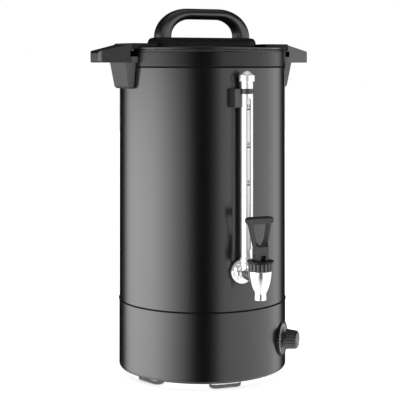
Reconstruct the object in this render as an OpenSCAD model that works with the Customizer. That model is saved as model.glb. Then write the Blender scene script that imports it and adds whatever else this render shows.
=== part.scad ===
// Manual-fill hot water urn with a lever tap, a sight gauge, a dial thermostat and a twist-lock lid.
// Millimetres. +Z is up and z = 0 is the table. The tap faces -Y, the side handles lie along X,
// and an azimuth is counted from the tap (-Y) towards +X.

/* [Tank] */
// Outside diameter of the water tank
tank_d = 230; // [228:0.5:232]
// Thickness of the tank's sheet steel
tank_t = 1; // [0.8:0.1:1.2]
// Height of the tank wall's upper edge
tank_top_z = 442.3; // [441:0.1:443]
// Height of the tank floor's upper face
floor_z = 124.7; // [123:0.1:126]
// Height of the coated collar band around the rim
collar_h = 19.3; // [15:0.1:22]
// How far the collar band stands proud of the wall
collar_t = 0.8; // [0.6:0.1:0.8]

/* [Base] */
// Outside diameter of the base skirt
skirt_d = 230.8; // [230:0.2:232]
// Thickness of the base skirt's sheet
skirt_t = 1.2; // [1:0.1:1.4]
// Height of the skirt's lower edge above the table
skirt_z = 9.8; // [9.5:0.1:10.5]
// Height of the skirt's upper edge
skirt_top_z = 102.7; // [100:0.1:104]
// Radius of the skirt's lower corner
skirt_corner = 4; // [3:0.5:5]

/* [Feet] */
// Length of a foot pad, along the base's edge
foot_l = 44; // [36:1:48]
// Width of a foot pad
foot_w = 18; // [14:1:20]
// Thickness of the rubber pad
foot_h = 6.2; // [5:0.1:7]
// Distance from the urn's axis to a foot's centre
foot_r = 92; // [88:1:94]

/* [Side handles] */
// Distance from the urn's axis to the grip's tip
grip_tip_x = 160.4; // [155:0.2:165]
// Half the grip's width at its tip
grip_tip_w = 19; // [16:0.5:22]
// Half the grip's width at the rim
grip_root_w = 32.6; // [30:0.2:34]
// Height of the grip's lower face
grip_z = 428; // [427:0.5:429]
// Height of the grip's upper face at the tip
grip_tip_z = 444; // [442:0.5:446]
// Height of the grip's upper face at the rim
grip_root_z = 452.6; // [452:0.1:454]
// Height of the bracket leg's lower end
leg_z = 393; // [390:1:396]

/* [Lid] */
// Height of the lid flange's upper face
lid_z = 448.2; // [448:0.1:448.6]
// Height of the top of the lid's arch handle
arch_z = 502.9; // [498:0.1:508]
// Length of the arch handle, outside its legs
arch_l = 142.8; // [140:0.2:150]
// Depth of the arch handle's bar, front to back
arch_w = 26; // [22:1:28]
// Thickness of the arch handle's top bar
arch_t = 15.2; // [13:0.1:18]

/* [Tap] */
// Distance from the urn's axis to the tap's upright axis
tap_r = 168; // [165:1:172]
// Height of the tap's shank
tap_z = 155.1; // [154:0.1:156]
// Inside diameter of the spout
spout_bore_d = 10; // [9:0.5:11]

/* [Sight gauge] */
// Distance from the urn's axis to the gauge's axis
gauge_r = 132; // [131:0.5:133]
// Diameter of the chromed gauge shield
shield_d = 16; // [15.5:0.1:16.5]
// Width of the shield's sight slot
slot_w = 5.6; // [4:0.1:7]
// Azimuth that the sight slot faces
slot_az = -9; // [-20:1:20]

/* [Thermostat dial] */
// Azimuth of the dial
dial_az = 45; // [40:1:60]
// Height of the dial's centre
dial_z = 52; // [46:0.1:56]
// Diameter of the dial's bezel
bezel_d = 47.5; // [46:0.5:50]
// Diameter of the knob at its foot
knob_d = 27; // [24:0.5:30]
// How far the knob stands out from the skirt
knob_out = 21.4; // [20:0.1:24]

/* [Hidden] */
$fn = 96;

tank_r = tank_d / 2;
bore_r = tank_r - tank_t;
skirt_r = skirt_d / 2;
lip_r = 104;
bead_r = skirt_r + 0.8;
seat_z = skirt_top_z - 0.8;
spigot_r = bore_r - 0.1;
spigot_top_z = floor_z - 13.2;
plate_z = skirt_z + skirt_t;
plate_r = skirt_r - 4.4;
foot_azimuths = [-7, -74, 106, 173];
tie_azimuths = [20, 140, 260];
tie_r = 70;
collar_r = tank_r + collar_t;
rim_top_z = tank_top_z + 2.9;
lug_r = tank_r + 8;
lug_x = 83;
lug_z = 454;
toe_w = 20;
lock_r = tank_r + 10.8;
lock_z = 436;
lock_roof_z = 443.6;
bridge_z = lid_z + 1;
bridge_top_z = 462.3;
arch_leg = 22.1;
leg_x = arch_l / 2 - arch_leg / 2;
lever_z = 177.3;
lever_block = [15.5, 14.5];
pin_z = lever_z + 6.7;
stem_d = 6;
bonnet_z = 164.2;
bonnet_top_z = 177.1;
seat_h = 142;
shield_z = 175.2;
shield_top_z = 387.5;
glass_d = 11;
knob_tip = skirt_r + knob_out;
knob_back = skirt_r + 6;
element_r = 75;
element_tube_r = 4.2;
element_z = 134;
leg_azimuth = 15;
gland_z = 34;
handle_screw_z = 410;
handle_screw_az = [96, 84, -84, -96];
bracket_screw_z = 382;
bracket_screw_az = -6;
fine = 256;
reset_at = [-38, 40];

// Points of an arc about a centre, from angle a0 to angle a1.
function arc(centre, r, a0, a1, n = 6) =
    [for (i = [0 : n]) centre + r * [cos(a0 + (a1 - a0) * i / n), sin(a0 + (a1 - a0) * i / n)]];

function unit(v) = v / norm(v);

// A point on the smooth curve through b and c, whose neighbours are a and d.
function curve_point(a, b, c, d, t) =
    0.5 * (2 * b + (c - a) * t + (2 * a - 5 * b + 4 * c - d) * t * t + (3 * b - a - 3 * c + d) * t * t * t);

function smooth_path(p, n = 6) =
    let (last = len(p) - 1)
    concat(
        [for (i = [0 : last - 1]) for (k = [0 : n - 1])
            curve_point(p[max(i - 1, 0)], p[i], p[i + 1], p[min(i + 2, last)], k / n)],
        [p[last]]
    );

// Turns its children from the front towards +X.
module at_azimuth(a) {
    rotate([0, 0, a]) children();
}

// Repeats its children at the screws that hold the side handles.
module at_handle_screws() {
    for (a = handle_screw_az) at_azimuth(a) translate([0, 0, handle_screw_z]) children();
}

// A rod along Y, from y0 up to y1.
module rod_y(r, y0, y1) {
    translate([0, y1, 0]) rotate([90, 0, 0]) cylinder(r = r, h = y1 - y0);
}

// A tube along Z, from z0 up to z1.
module tube(r_out, r_in, z0, z1) {
    translate([0, 0, z0]) difference() {
        cylinder(r = r_out, h = z1 - z0);
        translate([0, 0, -1]) cylinder(r = r_in, h = z1 - z0 + 2);
    }
}

// A pad with round ends, its long side along X.
module stadium(l, w, h) {
    translate([-(l - w) / 2, -w / 2, 0]) cube([l - w, w, h]);
    for (side = [-1, 1]) translate([side * (l - w) / 2, 0, 0]) cylinder(d = w, h = h);
}

// A round bar with many shallow flutes around it.
module fluted(r, flutes, flute_r, h) {
    linear_extrude(h) difference() {
        circle(r);
        for (i = [0 : flutes - 1]) rotate(i * 360 / flutes)
            translate([r + flute_r * 0.45, 0]) circle(flute_r, $fn = 16);
    }
}

// A hex nut on the Z axis.
module nut(across, hole_r, h) {
    difference() {
        cylinder(d = across / cos(30), h = h, $fn = 6);
        translate([0, 0, -1]) cylinder(r = hole_r, h = h + 2);
    }
}

// A tube with an even number of flat sides, swept along a path.
module swept(path, r, sides = 8, side_dir = [0.31, 0.95, 0.11]) {
    last = len(path) - 1;
    rings = [for (i = [0 : last])
        let (t = unit(path[min(i + 1, last)] - path[max(i - 1, 0)]))
        let (u = unit(cross(t, side_dir)))
        let (v = cross(t, u))
        for (k = [0 : sides - 1]) path[i] + r * (cos(k * 360 / sides) * u + sin(k * 360 / sides) * v)];
    walls = [for (i = [0 : last - 1]) for (k = [0 : sides - 1])
        let (n = (k + 1) % sides)
        [i * sides + k, (i + 1) * sides + k, (i + 1) * sides + n, i * sides + n]];
    start_cap = [for (k = [0 : sides - 1]) k];
    end_cap = [for (k = [sides - 1 : -1 : 0]) last * sides + k];
    polyhedron(points = rings, faces = concat(walls, [start_cap], [end_cap]), convexity = 6);
}

// ---- Base ----

module base_skirt() {
    corner = [skirt_r - skirt_corner, skirt_z + skirt_corner];
    outline = concat(
        [[lip_r, skirt_z]],
        arc(corner, skirt_corner, -90, 0),
        [
            [skirt_r, skirt_top_z - 2.7], [bead_r, skirt_top_z - 2.1], [bead_r, skirt_top_z - 0.5],
            [bead_r - 0.4, skirt_top_z], [tank_r + 0.2, skirt_top_z], [tank_r + 0.2, seat_z],
            [spigot_r, seat_z], [spigot_r, spigot_top_z], [spigot_r - skirt_t, spigot_top_z],
            [spigot_r - skirt_t, seat_z - 2], [skirt_r - skirt_t, seat_z - 4]
        ],
        arc(corner, skirt_corner - skirt_t, 0, -90),
        [[lip_r, plate_z]]
    );
    color("#26262a") difference() {
        rotate_extrude() polygon(outline);
        at_azimuth(dial_az) translate([0, 0, dial_z]) rod_y(5, -skirt_r - 5, -skirt_r + 20);
        at_azimuth(180) translate([0, 0, gland_z]) rod_y(8, -skirt_r - 5, -skirt_r + 20);
    }
}

module base_plate() {
    color("silver") difference() {
        translate([0, 0, plate_z]) cylinder(r = plate_r, h = skirt_t);
        for (a = foot_azimuths) at_azimuth(a) translate([0, -foot_r, 0]) cylinder(r = 2.2, h = 20);
        for (a = tie_azimuths) at_azimuth(a) translate([0, -tie_r, 0]) cylinder(r = 2.7, h = 20);
        translate([reset_at[0], reset_at[1], 0]) cylinder(r = 4, h = 20);
        for (i = [-2 : 2]) translate([i * 12, -30, plate_z + skirt_t / 2]) cube([4, 36, 4], center = true);
    }
}

module foot_pads() {
    color("#2b2b2b") for (a = foot_azimuths) at_azimuth(a) translate([0, -foot_r, 0]) difference() {
        stadium(foot_l, foot_w, foot_h);
        translate([0, 0, -1]) cylinder(r = 4.4, h = 4.2);
        cylinder(r = 2.3, h = foot_h + 1);
    }
}

module foot_spacers() {
    color("#dcdcd8") for (a = foot_azimuths) at_azimuth(a) translate([0, -foot_r, foot_h]) difference() {
        stadium(foot_l - 2, foot_w - 2, plate_z - foot_h);
        translate([0, 0, -1]) cylinder(r = 2.3, h = plate_z);
    }
}

module foot_screws() {
    color("silver") for (a = foot_azimuths) at_azimuth(a) translate([0, -foot_r, 0]) difference() {
        union() {
            translate([0, 0, 1.2]) cylinder(r = 3.8, h = 2);
            translate([0, 0, 2.2]) cylinder(r = 2, h = 15.4);
        }
        for (turn = [0, 90]) rotate(turn) translate([0, 0, 1.2]) cube([4.6, 0.9, 2], center = true);
    }
}

module foot_nuts() {
    color("silver") for (a = foot_azimuths) at_azimuth(a)
        translate([0, -foot_r, plate_z + skirt_t]) nut(7, 2.05, 3.2);
}

module tie_rods() {
    color("silver") for (a = tie_azimuths) at_azimuth(a)
        translate([0, -tie_r, 6.8]) cylinder(r = 2.5, h = floor_z - tank_t - 6.8);
}

module tie_rod_nuts() {
    color("silver") for (a = tie_azimuths) at_azimuth(a)
        translate([0, -tie_r, 7]) nut(8, 2.55, plate_z - 7);
}

// ---- Tank ----

module tank_wall() {
    color("#26262a") difference() {
        tube(tank_r, bore_r, seat_z, tank_top_z);
        translate([0, 0, tap_z]) rod_y(8.7, -tank_r - 5, -tank_r + 20);
        at_azimuth(bracket_screw_az) translate([0, 0, bracket_screw_z]) rod_y(2.2, -tank_r - 5, -tank_r + 20);
        at_handle_screws() rod_y(2.6, -tank_r - 5, -tank_r + 20);
    }
}

module tank_floor() {
    color("silver") difference() {
        union() {
            translate([0, 0, floor_z - tank_t]) cylinder(r = bore_r, h = tank_t);
            tube(bore_r, bore_r - tank_t, floor_z - 12.7, floor_z - tank_t);
        }
        for (side = [-1, 1]) at_azimuth(180 + side * leg_azimuth)
            translate([0, -element_r, floor_z - 5]) cylinder(r = element_tube_r + 0.1, h = 10);
    }
}

module rim_collar() {
    color("#1e1e21") tube(collar_r, tank_r, tank_top_z - collar_h, tank_top_z);
}

module rolled_rim() {
    roll_r = (rim_top_z - tank_top_z) / 2;
    roll_z = tank_top_z + roll_r;
    color("#3a3a3d") rotate_extrude() polygon(concat(
        arc([collar_r + 0.4 - roll_r, roll_z], roll_r, -90, 90, 8),
        arc([bore_r - 1 + roll_r, roll_z], roll_r, 90, 270, 8)
    ));
}

// ---- Side handles ----

// Plan of one grip: straight sides that close in towards a round-cornered tip.
module grip_plan(inset = 0, root_x = 100) {
    corner_r = 8;
    side_a = atan2(grip_root_w - grip_tip_w, grip_tip_x - 118.9);
    side_n = [sin(side_a), cos(side_a)];
    side_d = side_n * [118.9, grip_root_w];
    corner_x = grip_tip_x - corner_r;
    corner_y = (side_d - corner_r - side_n[0] * corner_x) / side_n[1];
    r = corner_r - inset;
    root_w = grip_root_w - inset;
    slope_x = 118.9 - (inset > 0 ? inset * tan(side_a / 2) : 0);
    polygon(concat(
        [[root_x, -root_w], [slope_x, -root_w]],
        arc([corner_x, -corner_y], r, side_a - 90, 0),
        arc([corner_x, corner_y], r, 0, 90 - side_a),
        [[slope_x, root_w], [root_x, root_w]]
    ));
}

// Side outline of one grip, x outwards and z up.
module grip_side() {
    r = 4;
    polygon(concat(
        [[100, grip_z]],
        arc([grip_tip_x - r, grip_z + r], r, -90, 0),
        arc([grip_tip_x - r, grip_tip_z - r], r, 0, 76),
        [[118.9, grip_root_z], [100, grip_root_z]]
    ));
}

module leg_side() {
    polygon([
        [100, leg_z], [119, leg_z], [120.8, leg_z + 1.4], [122, leg_z + 4],
        [126.9, grip_z], [126.9, grip_z + 4], [100, grip_z + 4]
    ]);
}

module leg_front() {
    r = 4;
    polygon(concat(
        arc([-24.6 + r, leg_z + r], r, 180, 270),
        arc([24.6 - r, leg_z + r], r, -90, 0),
        [[28.3, grip_z], [28.3, grip_z + 4], [-28.3, grip_z + 4], [-28.3, grip_z]]
    ));
}

// One side handle, on +X: a shelf grip on a bracket leg, with the lid's lock channel in its root.
module side_handle() {
    color("#1b1b1d") difference() {
        union() {
            intersection() {
                translate([0, 0, grip_z - 1]) linear_extrude(40) grip_plan();
                translate([0, 40, 0]) rotate([90, 0, 0]) linear_extrude(80) grip_side();
            }
            intersection() {
                translate([0, 30, 0]) rotate([90, 0, 0]) linear_extrude(60) leg_side();
                translate([100, 0, 0]) rotate([90, 0, 90]) linear_extrude(40) leg_front();
            }
        }
        translate([0, 0, leg_z - 5]) cylinder(r = collar_r, h = 60, $fn = fine);
        translate([0, 0, rim_top_z + 0.4]) cylinder(r = lug_r + 0.4, h = 20, $fn = fine);
        tube(lock_r, 100, lock_z, lock_roof_z);
        tube(lug_r - 1.6, 100, lock_z, 470);
        intersection() {
            tube(lock_r, 100, lock_z, 470);
            translate([100, -toe_w - 1.5, lock_z]) cube([40, 2 * toe_w + 3, 40]);
        }
        translate([0, 0, grip_z - 1]) linear_extrude(10) intersection() {
            grip_plan(4);
            translate([129.5, -40]) square([40, 80]);
        }
        at_handle_screws() rod_y(2.6, -121, -100);
    }
}

module right_handle() {
    side_handle();
}

module left_handle() {
    rotate([0, 0, 180]) side_handle();
}

module handle_screws() {
    color("silver") at_handle_screws() {
        rod_y(2.5, -120, -111);
        rod_y(4.5, -112.4, -109.4);
    }
}

module handle_washers() {
    color("#c9c9c4") at_handle_screws() difference() {
        rod_y(5.5, -113.8, -112.4);
        rod_y(2.6, -120, -110);
    }
}

// ---- Lid ----

module lid_seal() {
    color("#3a3a3a") tube(bore_r - 0.3, bore_r - 2.7, rim_top_z + 0.3, lid_z - 1.3);
}

module lid_pan() {
    color("#26262a") difference() {
        rotate_extrude() polygon([
            [0, bridge_z - tank_t], [93.5, bridge_z - tank_t], [94.5, lid_z - tank_t],
            [tank_r - 1, lid_z - tank_t], [tank_r - 1, lid_z - 2.1], [tank_r, lid_z - 2.1],
            [tank_r, lid_z - 0.4], [tank_r - 0.4, lid_z],
            [96, lid_z], [95, bridge_z], [0, bridge_z]
        ]);
        for (side = [-1, 1]) {
            translate([side * leg_x, 0, lid_z - 5]) cylinder(r = 2.7, h = 10);
            for (end = [-1, 1]) translate([side * 106, end * 15, lid_z - 5]) cylinder(r = 1.7, h = 10);
        }
    }
}

module lid_locating_ring() {
    color("#26262a") tube(bore_r - 3, bore_r - 4, lock_z, lid_z - tank_t);
}

// One lid lug, on +X: a plate over the rim with an L-shaped toe that drops into the handle's channel.
module lid_lug() {
    color("#1b1b1d") difference() {
        union() {
            intersection() {
                translate([0, 0, lid_z]) cylinder(r = lug_r, h = lug_z - lid_z);
                translate([lug_x, -grip_root_w, lid_z]) cube([40, 2 * grip_root_w, 20]);
            }
            intersection() {
                tube(lug_r, tank_r + 0.3, rim_top_z + 1.3, lid_z);
                translate([lug_x, -grip_root_w, 0]) cube([40, 2 * grip_root_w, 500]);
            }
            intersection() {
                union() {
                    tube(lug_r - 2, tank_r + 2.2, lock_roof_z - 5, lid_z);
                    tube(lock_r - 0.8, tank_r + 2.2, lock_roof_z - 5, lock_roof_z - 0.6);
                }
                translate([lug_x, -toe_w, 0]) cube([40, 2 * toe_w, 500]);
            }
        }
        for (end = [-1, 1]) translate([106, end * 15, lid_z - 5]) cylinder(r = 1.6, h = 8.6);
        translate([0, 0, lid_z - 1]) cylinder(r = 96.6, h = bridge_z - lid_z + 1, $fn = fine);
    }
}

module right_lid_lug() {
    lid_lug();
}

module left_lid_lug() {
    rotate([0, 0, 180]) lid_lug();
}

module lug_screws() {
    color("silver") for (side = [-1, 1]) for (end = [-1, 1]) translate([side * 106, end * 15, 0]) {
        translate([0, 0, lid_z - 2.8]) cylinder(r = 2.6, h = 1.8);
        translate([0, 0, lid_z - 2]) cylinder(r = 1.5, h = 5);
    }
}

module lid_bridge() {
    half_l = 50.5;
    side = [[31, 0], [29.8, 7.2], [28.9, 9.6], [27.2, 11.6], [25, 12.7], [22.5, 13.1]];
    mirrored = [for (i = [len(side) - 1 : -1 : 0]) [-side[i][0], side[i][1]]];
    color("#1b1b1d") translate([0, 0, bridge_z]) difference() {
        union() {
            for (end = [-1, 1]) translate([end * half_l, 0, 0]) rotate_extrude()
                polygon(concat([[0, 0]], side, [[0, 13.1]]));
            rotate([90, 0, 90]) linear_extrude(2 * half_l, center = true) polygon(concat(side, mirrored));
        }
        for (end = [-1, 1]) translate([end * leg_x, 0, -1]) cylinder(r = 2.7, h = 20);
    }
}

// Front outline of the arch handle: flat on top, with elliptical shoulders down to two legs.
function arch_outline(half, top, flat, steep, foot) =
    let (
        rx = half - flat,
        ry = steep * rx,
        shoulder = [for (i = [0 : 10]) [flat + rx * cos(i * 9), top - ry * (1 - sin(i * 9))]]
    )
    concat(
        [[-half, foot], [half, foot]],
        shoulder,
        [for (i = [10 : -1 : 0]) [-shoulder[i][0], shoulder[i][1]]]
    );

module lid_handle() {
    color("#1b1b1d") difference() {
        translate([0, arch_w / 2, 0]) rotate([90, 0, 0]) linear_extrude(arch_w) difference() {
            polygon(arch_outline(arch_l / 2, arch_z, 24, 0.84, bridge_top_z));
            polygon(arch_outline(arch_l / 2 - arch_leg, arch_z - arch_t, 20, 0.8, bridge_top_z - 1));
        }
        for (side = [-1, 1]) translate([side * leg_x, 0, bridge_top_z - 1]) cylinder(r = 2.6, h = 15);
    }
}

module lid_handle_screws() {
    color("silver") for (side = [-1, 1]) translate([side * leg_x, 0, 0]) {
        translate([0, 0, lid_z - 3]) cylinder(r = 5, h = 3);
        translate([0, 0, lid_z - 1]) cylinder(r = 2.5, h = bridge_top_z + 13 - lid_z);
    }
}

// ---- Tap ----

module tap_gasket() {
    color("#161616") difference() {
        translate([0, 0, tap_z]) rod_y(17, -tank_r - 2.5, -tank_r + 4);
        cylinder(r = tank_r, h = 300, $fn = fine);
        translate([0, 0, tap_z]) rod_y(8.7, -tank_r - 5, -100);
    }
}

module tap_rosette() {
    color("#d8d8d8") translate([0, -tank_r - 2.5, tap_z]) rotate([90, 0, 0]) difference() {
        rotate_extrude() polygon(concat(
            [[0, 0], [15.75, 0]],
            arc([12.75, 1.4], 3, 0, 62),
            [[9.5, 5], [0, 5]]
        ));
        translate([0, 0, -1]) cylinder(r = 8.7, h = 8);
    }
}

// The tap's casting: shank, gauge socket and the bell that holds the valve.
module tap_body() {
    bell = [
        [0, 137.2], [8.7, 137.2], [9.6, 138.6], [11.4, 142.4], [13.35, 149.3], [14.4, 155], [15, 160],
        [15.15, bonnet_z], [0, bonnet_z]
    ];
    color("#d8d8d8") difference() {
        union() {
            translate([0, -tap_r, 0]) rotate_extrude() polygon(bell);
            translate([0, 0, tap_z]) {
                rod_y(8.5, -tap_r, -98);
                rod_y(10.5, -tank_r - 10, -tank_r - 7.5);
            }
            translate([0, -gauge_r, tap_z - 4]) cylinder(r = 7.5, h = 18.9);
        }
        translate([0, 0, tap_z]) rod_y(5.5, -tap_r, -90);
        translate([0, -tap_r, 0]) {
            translate([0, 0, seat_h]) cylinder(r = 10.5, h = 40);
            translate([0, 0, 130]) cylinder(r = 6, h = 20);
            translate([0, 0, 130]) cylinder(r = 7, h = 10.7);
        }
        translate([0, -gauge_r, tap_z]) cylinder(r = 4, h = 40);
        translate([0, -gauge_r, 166]) cylinder(r = glass_d / 2 + 0.1, h = 10);
    }
}

module tap_inner_washer() {
    color("#c9c9c4") difference() {
        intersection() {
            translate([0, 0, tap_z]) rod_y(14, -120, -110.5);
            cylinder(r = bore_r, h = 300, $fn = fine);
        }
        translate([0, 0, tap_z]) rod_y(8.6, -120, -100);
    }
}

module tap_back_nut() {
    color("silver") translate([0, -102.5, tap_z]) rotate([90, 0, 0]) nut(26, 8.6, 8);
}

module tap_spout() {
    color("#d8d8d8") translate([0, -tap_r, 0]) difference() {
        rotate_extrude() polygon([
            [0, 127.3], [7.6, 127.3], [8, 127.8], [8, 129], [7.75, 134.5], [8.3, 136], [8.3, 137.2],
            [6.9, 137.2], [6.9, 140.5], [0, 140.5]
        ]);
        translate([0, 0, 120]) cylinder(r = spout_bore_d / 2, h = 20);
        translate([0, 0, 136.5]) cylinder(r = spout_bore_d / 2 + 0.7, h = 10);
    }
}

module tap_bonnet() {
    color("#1b1b1d") translate([0, -tap_r, 0]) difference() {
        union() {
            translate([0, 0, bonnet_z - 3.7]) cylinder(r = 10.4, h = 5);
            translate([0, 0, bonnet_z]) cylinder(r = 14.4, h = 12);
            translate([0, 0, bonnet_z]) fluted(15.5, 18, 1.3, 10);
            translate([0, 0, bonnet_top_z - 1.9]) cylinder(r = 17, h = 1.9);
        }
        translate([0, 0, bonnet_z - 5]) cylinder(r = 8, h = 14.3);
        translate([0, 0, bonnet_z]) cylinder(r = stem_d / 2 + 0.1, h = 20);
    }
}

module valve_stem() {
    color("silver") translate([0, -tap_r, 0]) difference() {
        union() {
            translate([0, 0, 146]) cylinder(d = stem_d, h = pin_z + 4 - 146);
            translate([0, 0, 152]) cylinder(r = 7, h = 1.5);
        }
        translate([-5, 0, pin_z]) rotate([0, 90, 0]) cylinder(r = 1.5, h = 10);
    }
}

module valve_cup() {
    color("#e4e0d4") translate([0, -tap_r, 0]) difference() {
        union() {
            translate([0, 0, seat_h + 0.2]) cylinder(r = 8.5, h = 4);
            translate([0, 0, seat_h + 4.2]) cylinder(r1 = 8.5, r2 = 5.5, h = 5.8);
        }
        translate([0, 0, 146]) cylinder(d = stem_d, h = 10);
    }
}

module valve_spring() {
    steps = 6 * 12;
    z0 = 154.2;
    z1 = 172.7;
    coil = [for (i = [0 : steps]) [5.3 * cos(i * 30), 5.3 * sin(i * 30), z0 + (z1 - z0) * i / steps]];
    color("silver") translate([0, -tap_r, 0]) swept(coil, 0.6, 6, [0, 0, 1]);
}

module lever_pin() {
    color("silver") translate([-lever_block[0] / 2 + 0.4, -tap_r, pin_z]) rotate([0, 90, 0])
        cylinder(r = 1.5, h = lever_block[0] - 0.8);
}

// Stands an outline (x across, y up) on the lever's leaning plane, from y_back forwards.
module on_lever_plane(y_back, depth) {
    translate([0, 0, lever_z]) rotate([-3, 0, 0]) translate([0, y_back, -lever_z]) rotate([90, 0, 0])
        linear_extrude(depth) children();
}

// The lever: a forked block on the valve's pin, with a round-bottomed loop and a cross bar for the fingers.
module tap_lever() {
    bar_z = 227.7;
    bar_r = 4.5;
    bar_end = 18.35 - bar_r;
    fork_w = 3.8;
    half_l = lever_block[1] / 2;
    block_side = [
        [-half_l, lever_z], [half_l, lever_z], [half_l, 195], [6.6, 200], [-3.9, 200], [-half_l, 195]
    ];
    window = [
        [2.6, 194.9], [4.6, 196.6], [6.4, 199.6], [7.7, 203], [8.7, 206.5], [9.4, 210], [10.6, 216],
        [11.5, bar_z - bar_r]
    ];
    color("#1b1b1d") translate([0, -tap_r, 0]) difference() {
        union() {
            rotate([90, 0, 90]) linear_extrude(lever_block[0], center = true) polygon(block_side);
            on_lever_plane(5.2, 10) {
                polygon([[-6.8, 188], [6.8, 188], [15.6, bar_z], [-15.6, bar_z]]);
                translate([0, bar_z]) square([2 * bar_end, 2 * bar_r], center = true);
                for (side = [-1, 1]) translate([side * bar_end, bar_z]) circle(bar_r);
            }
        }
        on_lever_plane(20, 40) polygon(concat(
            [[0, 194.3]],
            window,
            [for (i = [len(window) - 1 : -1 : 0]) [-window[i][0], window[i][1]]]
        ));
        translate([-fork_w, -5, lever_z - 1]) cube([2 * fork_w, 25, 14.5]);
        translate([-fork_w, -20, lever_z - 1]) cube([2 * fork_w, 20, 7.7]);
        translate([-20, 0, pin_z]) rotate([0, 90, 0]) cylinder(r = 1.55, h = 40);
    }
}

// ---- Sight gauge ----

module gauge_nut() {
    color("#d8d8d8") translate([0, -gauge_r, 0]) difference() {
        translate([0, 0, 165.9]) cylinder(r = 9.4, h = shield_z - 165.9);
        translate([0, 0, 160]) cylinder(r = 7.6, h = 12);
        translate([0, 0, 160]) cylinder(r = glass_d / 2 + 0.1, h = 20);
    }
}

module gauge_seal() {
    color("#161616") translate([0, -gauge_r, 0]) tube(7.5, glass_d / 2, tap_z + 14.9, 172);
}

module gauge_glass() {
    color("#dfe8ea", 0.4) translate([0, -gauge_r, 0]) tube(glass_d / 2, glass_d / 2 - 1.5, 166.2, 398);
}

module gauge_shield() {
    color("#d8d8d8") translate([0, -gauge_r, 0]) difference() {
        tube(shield_d / 2, shield_d / 2 - 0.8, shield_z, shield_top_z);
        at_azimuth(slot_az) {
            translate([-slot_w / 2, -20, 186 + slot_w / 2]) cube([slot_w, 20, 196 - slot_w]);
            for (z = [186 + slot_w / 2, 382 - slot_w / 2]) translate([0, 0, z]) rod_y(slot_w / 2, -20, 0);
        }
    }
}

module gauge_clamp_ring() {
    color("#1b1b1d") translate([0, -gauge_r, 0]) tube(8.5, glass_d / 2 + 0.1, shield_top_z, 394);
}

module gauge_cap() {
    outline = concat(
        [
            [0, 394], [8, 394], [8, 402.6], [9.6, 403.4],
            [10.15, 404.2], [10.15, 410.4], [9.4, 411.1], [7.2, 412]
        ],
        arc([0, 409.6], 7.7, 20, 90)
    );
    color("#d8d8d8") translate([0, -gauge_r, 0]) difference() {
        rotate_extrude() polygon(outline);
        translate([0, 0, 390]) cylinder(r = glass_d / 2 + 0.1, h = 12);
    }
}

module gauge_bracket() {
    color("#1b1b1d") difference() {
        translate([-17, -gauge_r, 370]) cube([22, gauge_r - 100, 24]);
        cylinder(r = tank_r, h = 500, $fn = fine);
        translate([0, -gauge_r, 360]) cylinder(r = 8.5, h = 50);
        at_azimuth(bracket_screw_az) translate([0, 0, bracket_screw_z]) rod_y(2.1, -126, -100);
    }
}

module gauge_bracket_screw() {
    color("silver") at_azimuth(bracket_screw_az) translate([0, 0, bracket_screw_z]) {
        rod_y(2, -125, -112);
        rod_y(4, -113.8, -111.3);
    }
}

// ---- Thermostat dial ----

module dial_bezel() {
    color("#1b1b1d") at_azimuth(dial_az) translate([0, 0, dial_z]) difference() {
        rod_y(bezel_d / 2, -skirt_r - 1.2, -skirt_r + 6);
        translate([0, 0, -60]) cylinder(r = skirt_r, h = 120, $fn = fine);
        rod_y(bezel_d / 2 - 3, -skirt_r - 5, -skirt_r - 0.5);
        rod_y(bezel_d / 2 - 4, -skirt_r - 5, -100);
    }
}

module dial_plate() {
    color("#8b8d90") at_azimuth(dial_az) translate([0, 0, dial_z]) difference() {
        rod_y(bezel_d / 2 - 3, -skirt_r - 1, -skirt_r - 0.5);
        rod_y(5, -skirt_r - 5, -100);
    }
}

module knob() {
    h = knob_tip - knob_back;
    color("#1b1b1d") at_azimuth(dial_az) translate([0, -knob_back, dial_z]) rotate([90, 0, 0]) difference() {
        union() {
            cylinder(r = knob_d / 2, h = 2.5);
            intersection() {
                fluted(knob_d / 2 - 0.4, 18, 1.4, h - 2);
                cylinder(r1 = knob_d / 2, r2 = knob_d / 2 - 1.4, h = h - 2);
            }
            translate([0, 0, h - 2]) cylinder(r1 = knob_d / 2 - 1.5, r2 = knob_d / 2 - 3, h = 2);
        }
        translate([0, 0, -1]) cylinder(r = 3, h = 11);
    }
}

module knob_spindle() {
    color("silver") at_azimuth(dial_az) translate([0, 0, dial_z]) rod_y(3, -knob_back - 9.5, -96);
}

// The thermostat's box, its threaded neck through the skirt, and the nut that holds it there.
module thermostat() {
    at_azimuth(dial_az) translate([0, 0, dial_z]) {
        color("#cfcabb") difference() {
            union() {
                translate([-19, -112, -16]) cube([38, 30, 32]);
                rod_y(4.9, -skirt_r - 3.2, -111);
            }
            rod_y(3.05, -skirt_r - 5, -94);
        }
        color("silver") translate([0, -skirt_r - 1.1, 0]) rotate([90, 0, 0]) nut(13, 5, 1.7);
    }
}

module capillary() {
    start = [94 * sin(dial_az), -94 * cos(dial_az), dial_z + 16];
    color("#b87333") swept(smooth_path([
        start, start + [0, 0, 12], start + [-8, 6, 28],
        [50, -20, 104], [48, 10, 118], [42, 30, 120], [35, 30, 120.2]
    ]), 0.9);
}

module sensor_bulb() {
    color("#b87333") translate([-35, 30, 120.2]) rotate([0, 90, 0]) cylinder(r = 3, h = 70);
    color("silver") for (x = [-20, 20]) translate([x, 24, 0]) difference() {
        translate([-4, 0, 116.2]) cube([8, 12, floor_z - tank_t - 116.2]);
        translate([-5, 6, 120.2]) rotate([0, 90, 0]) cylinder(r = 3, h = 10);
    }
}

// ---- Heater and wiring ----

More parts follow.
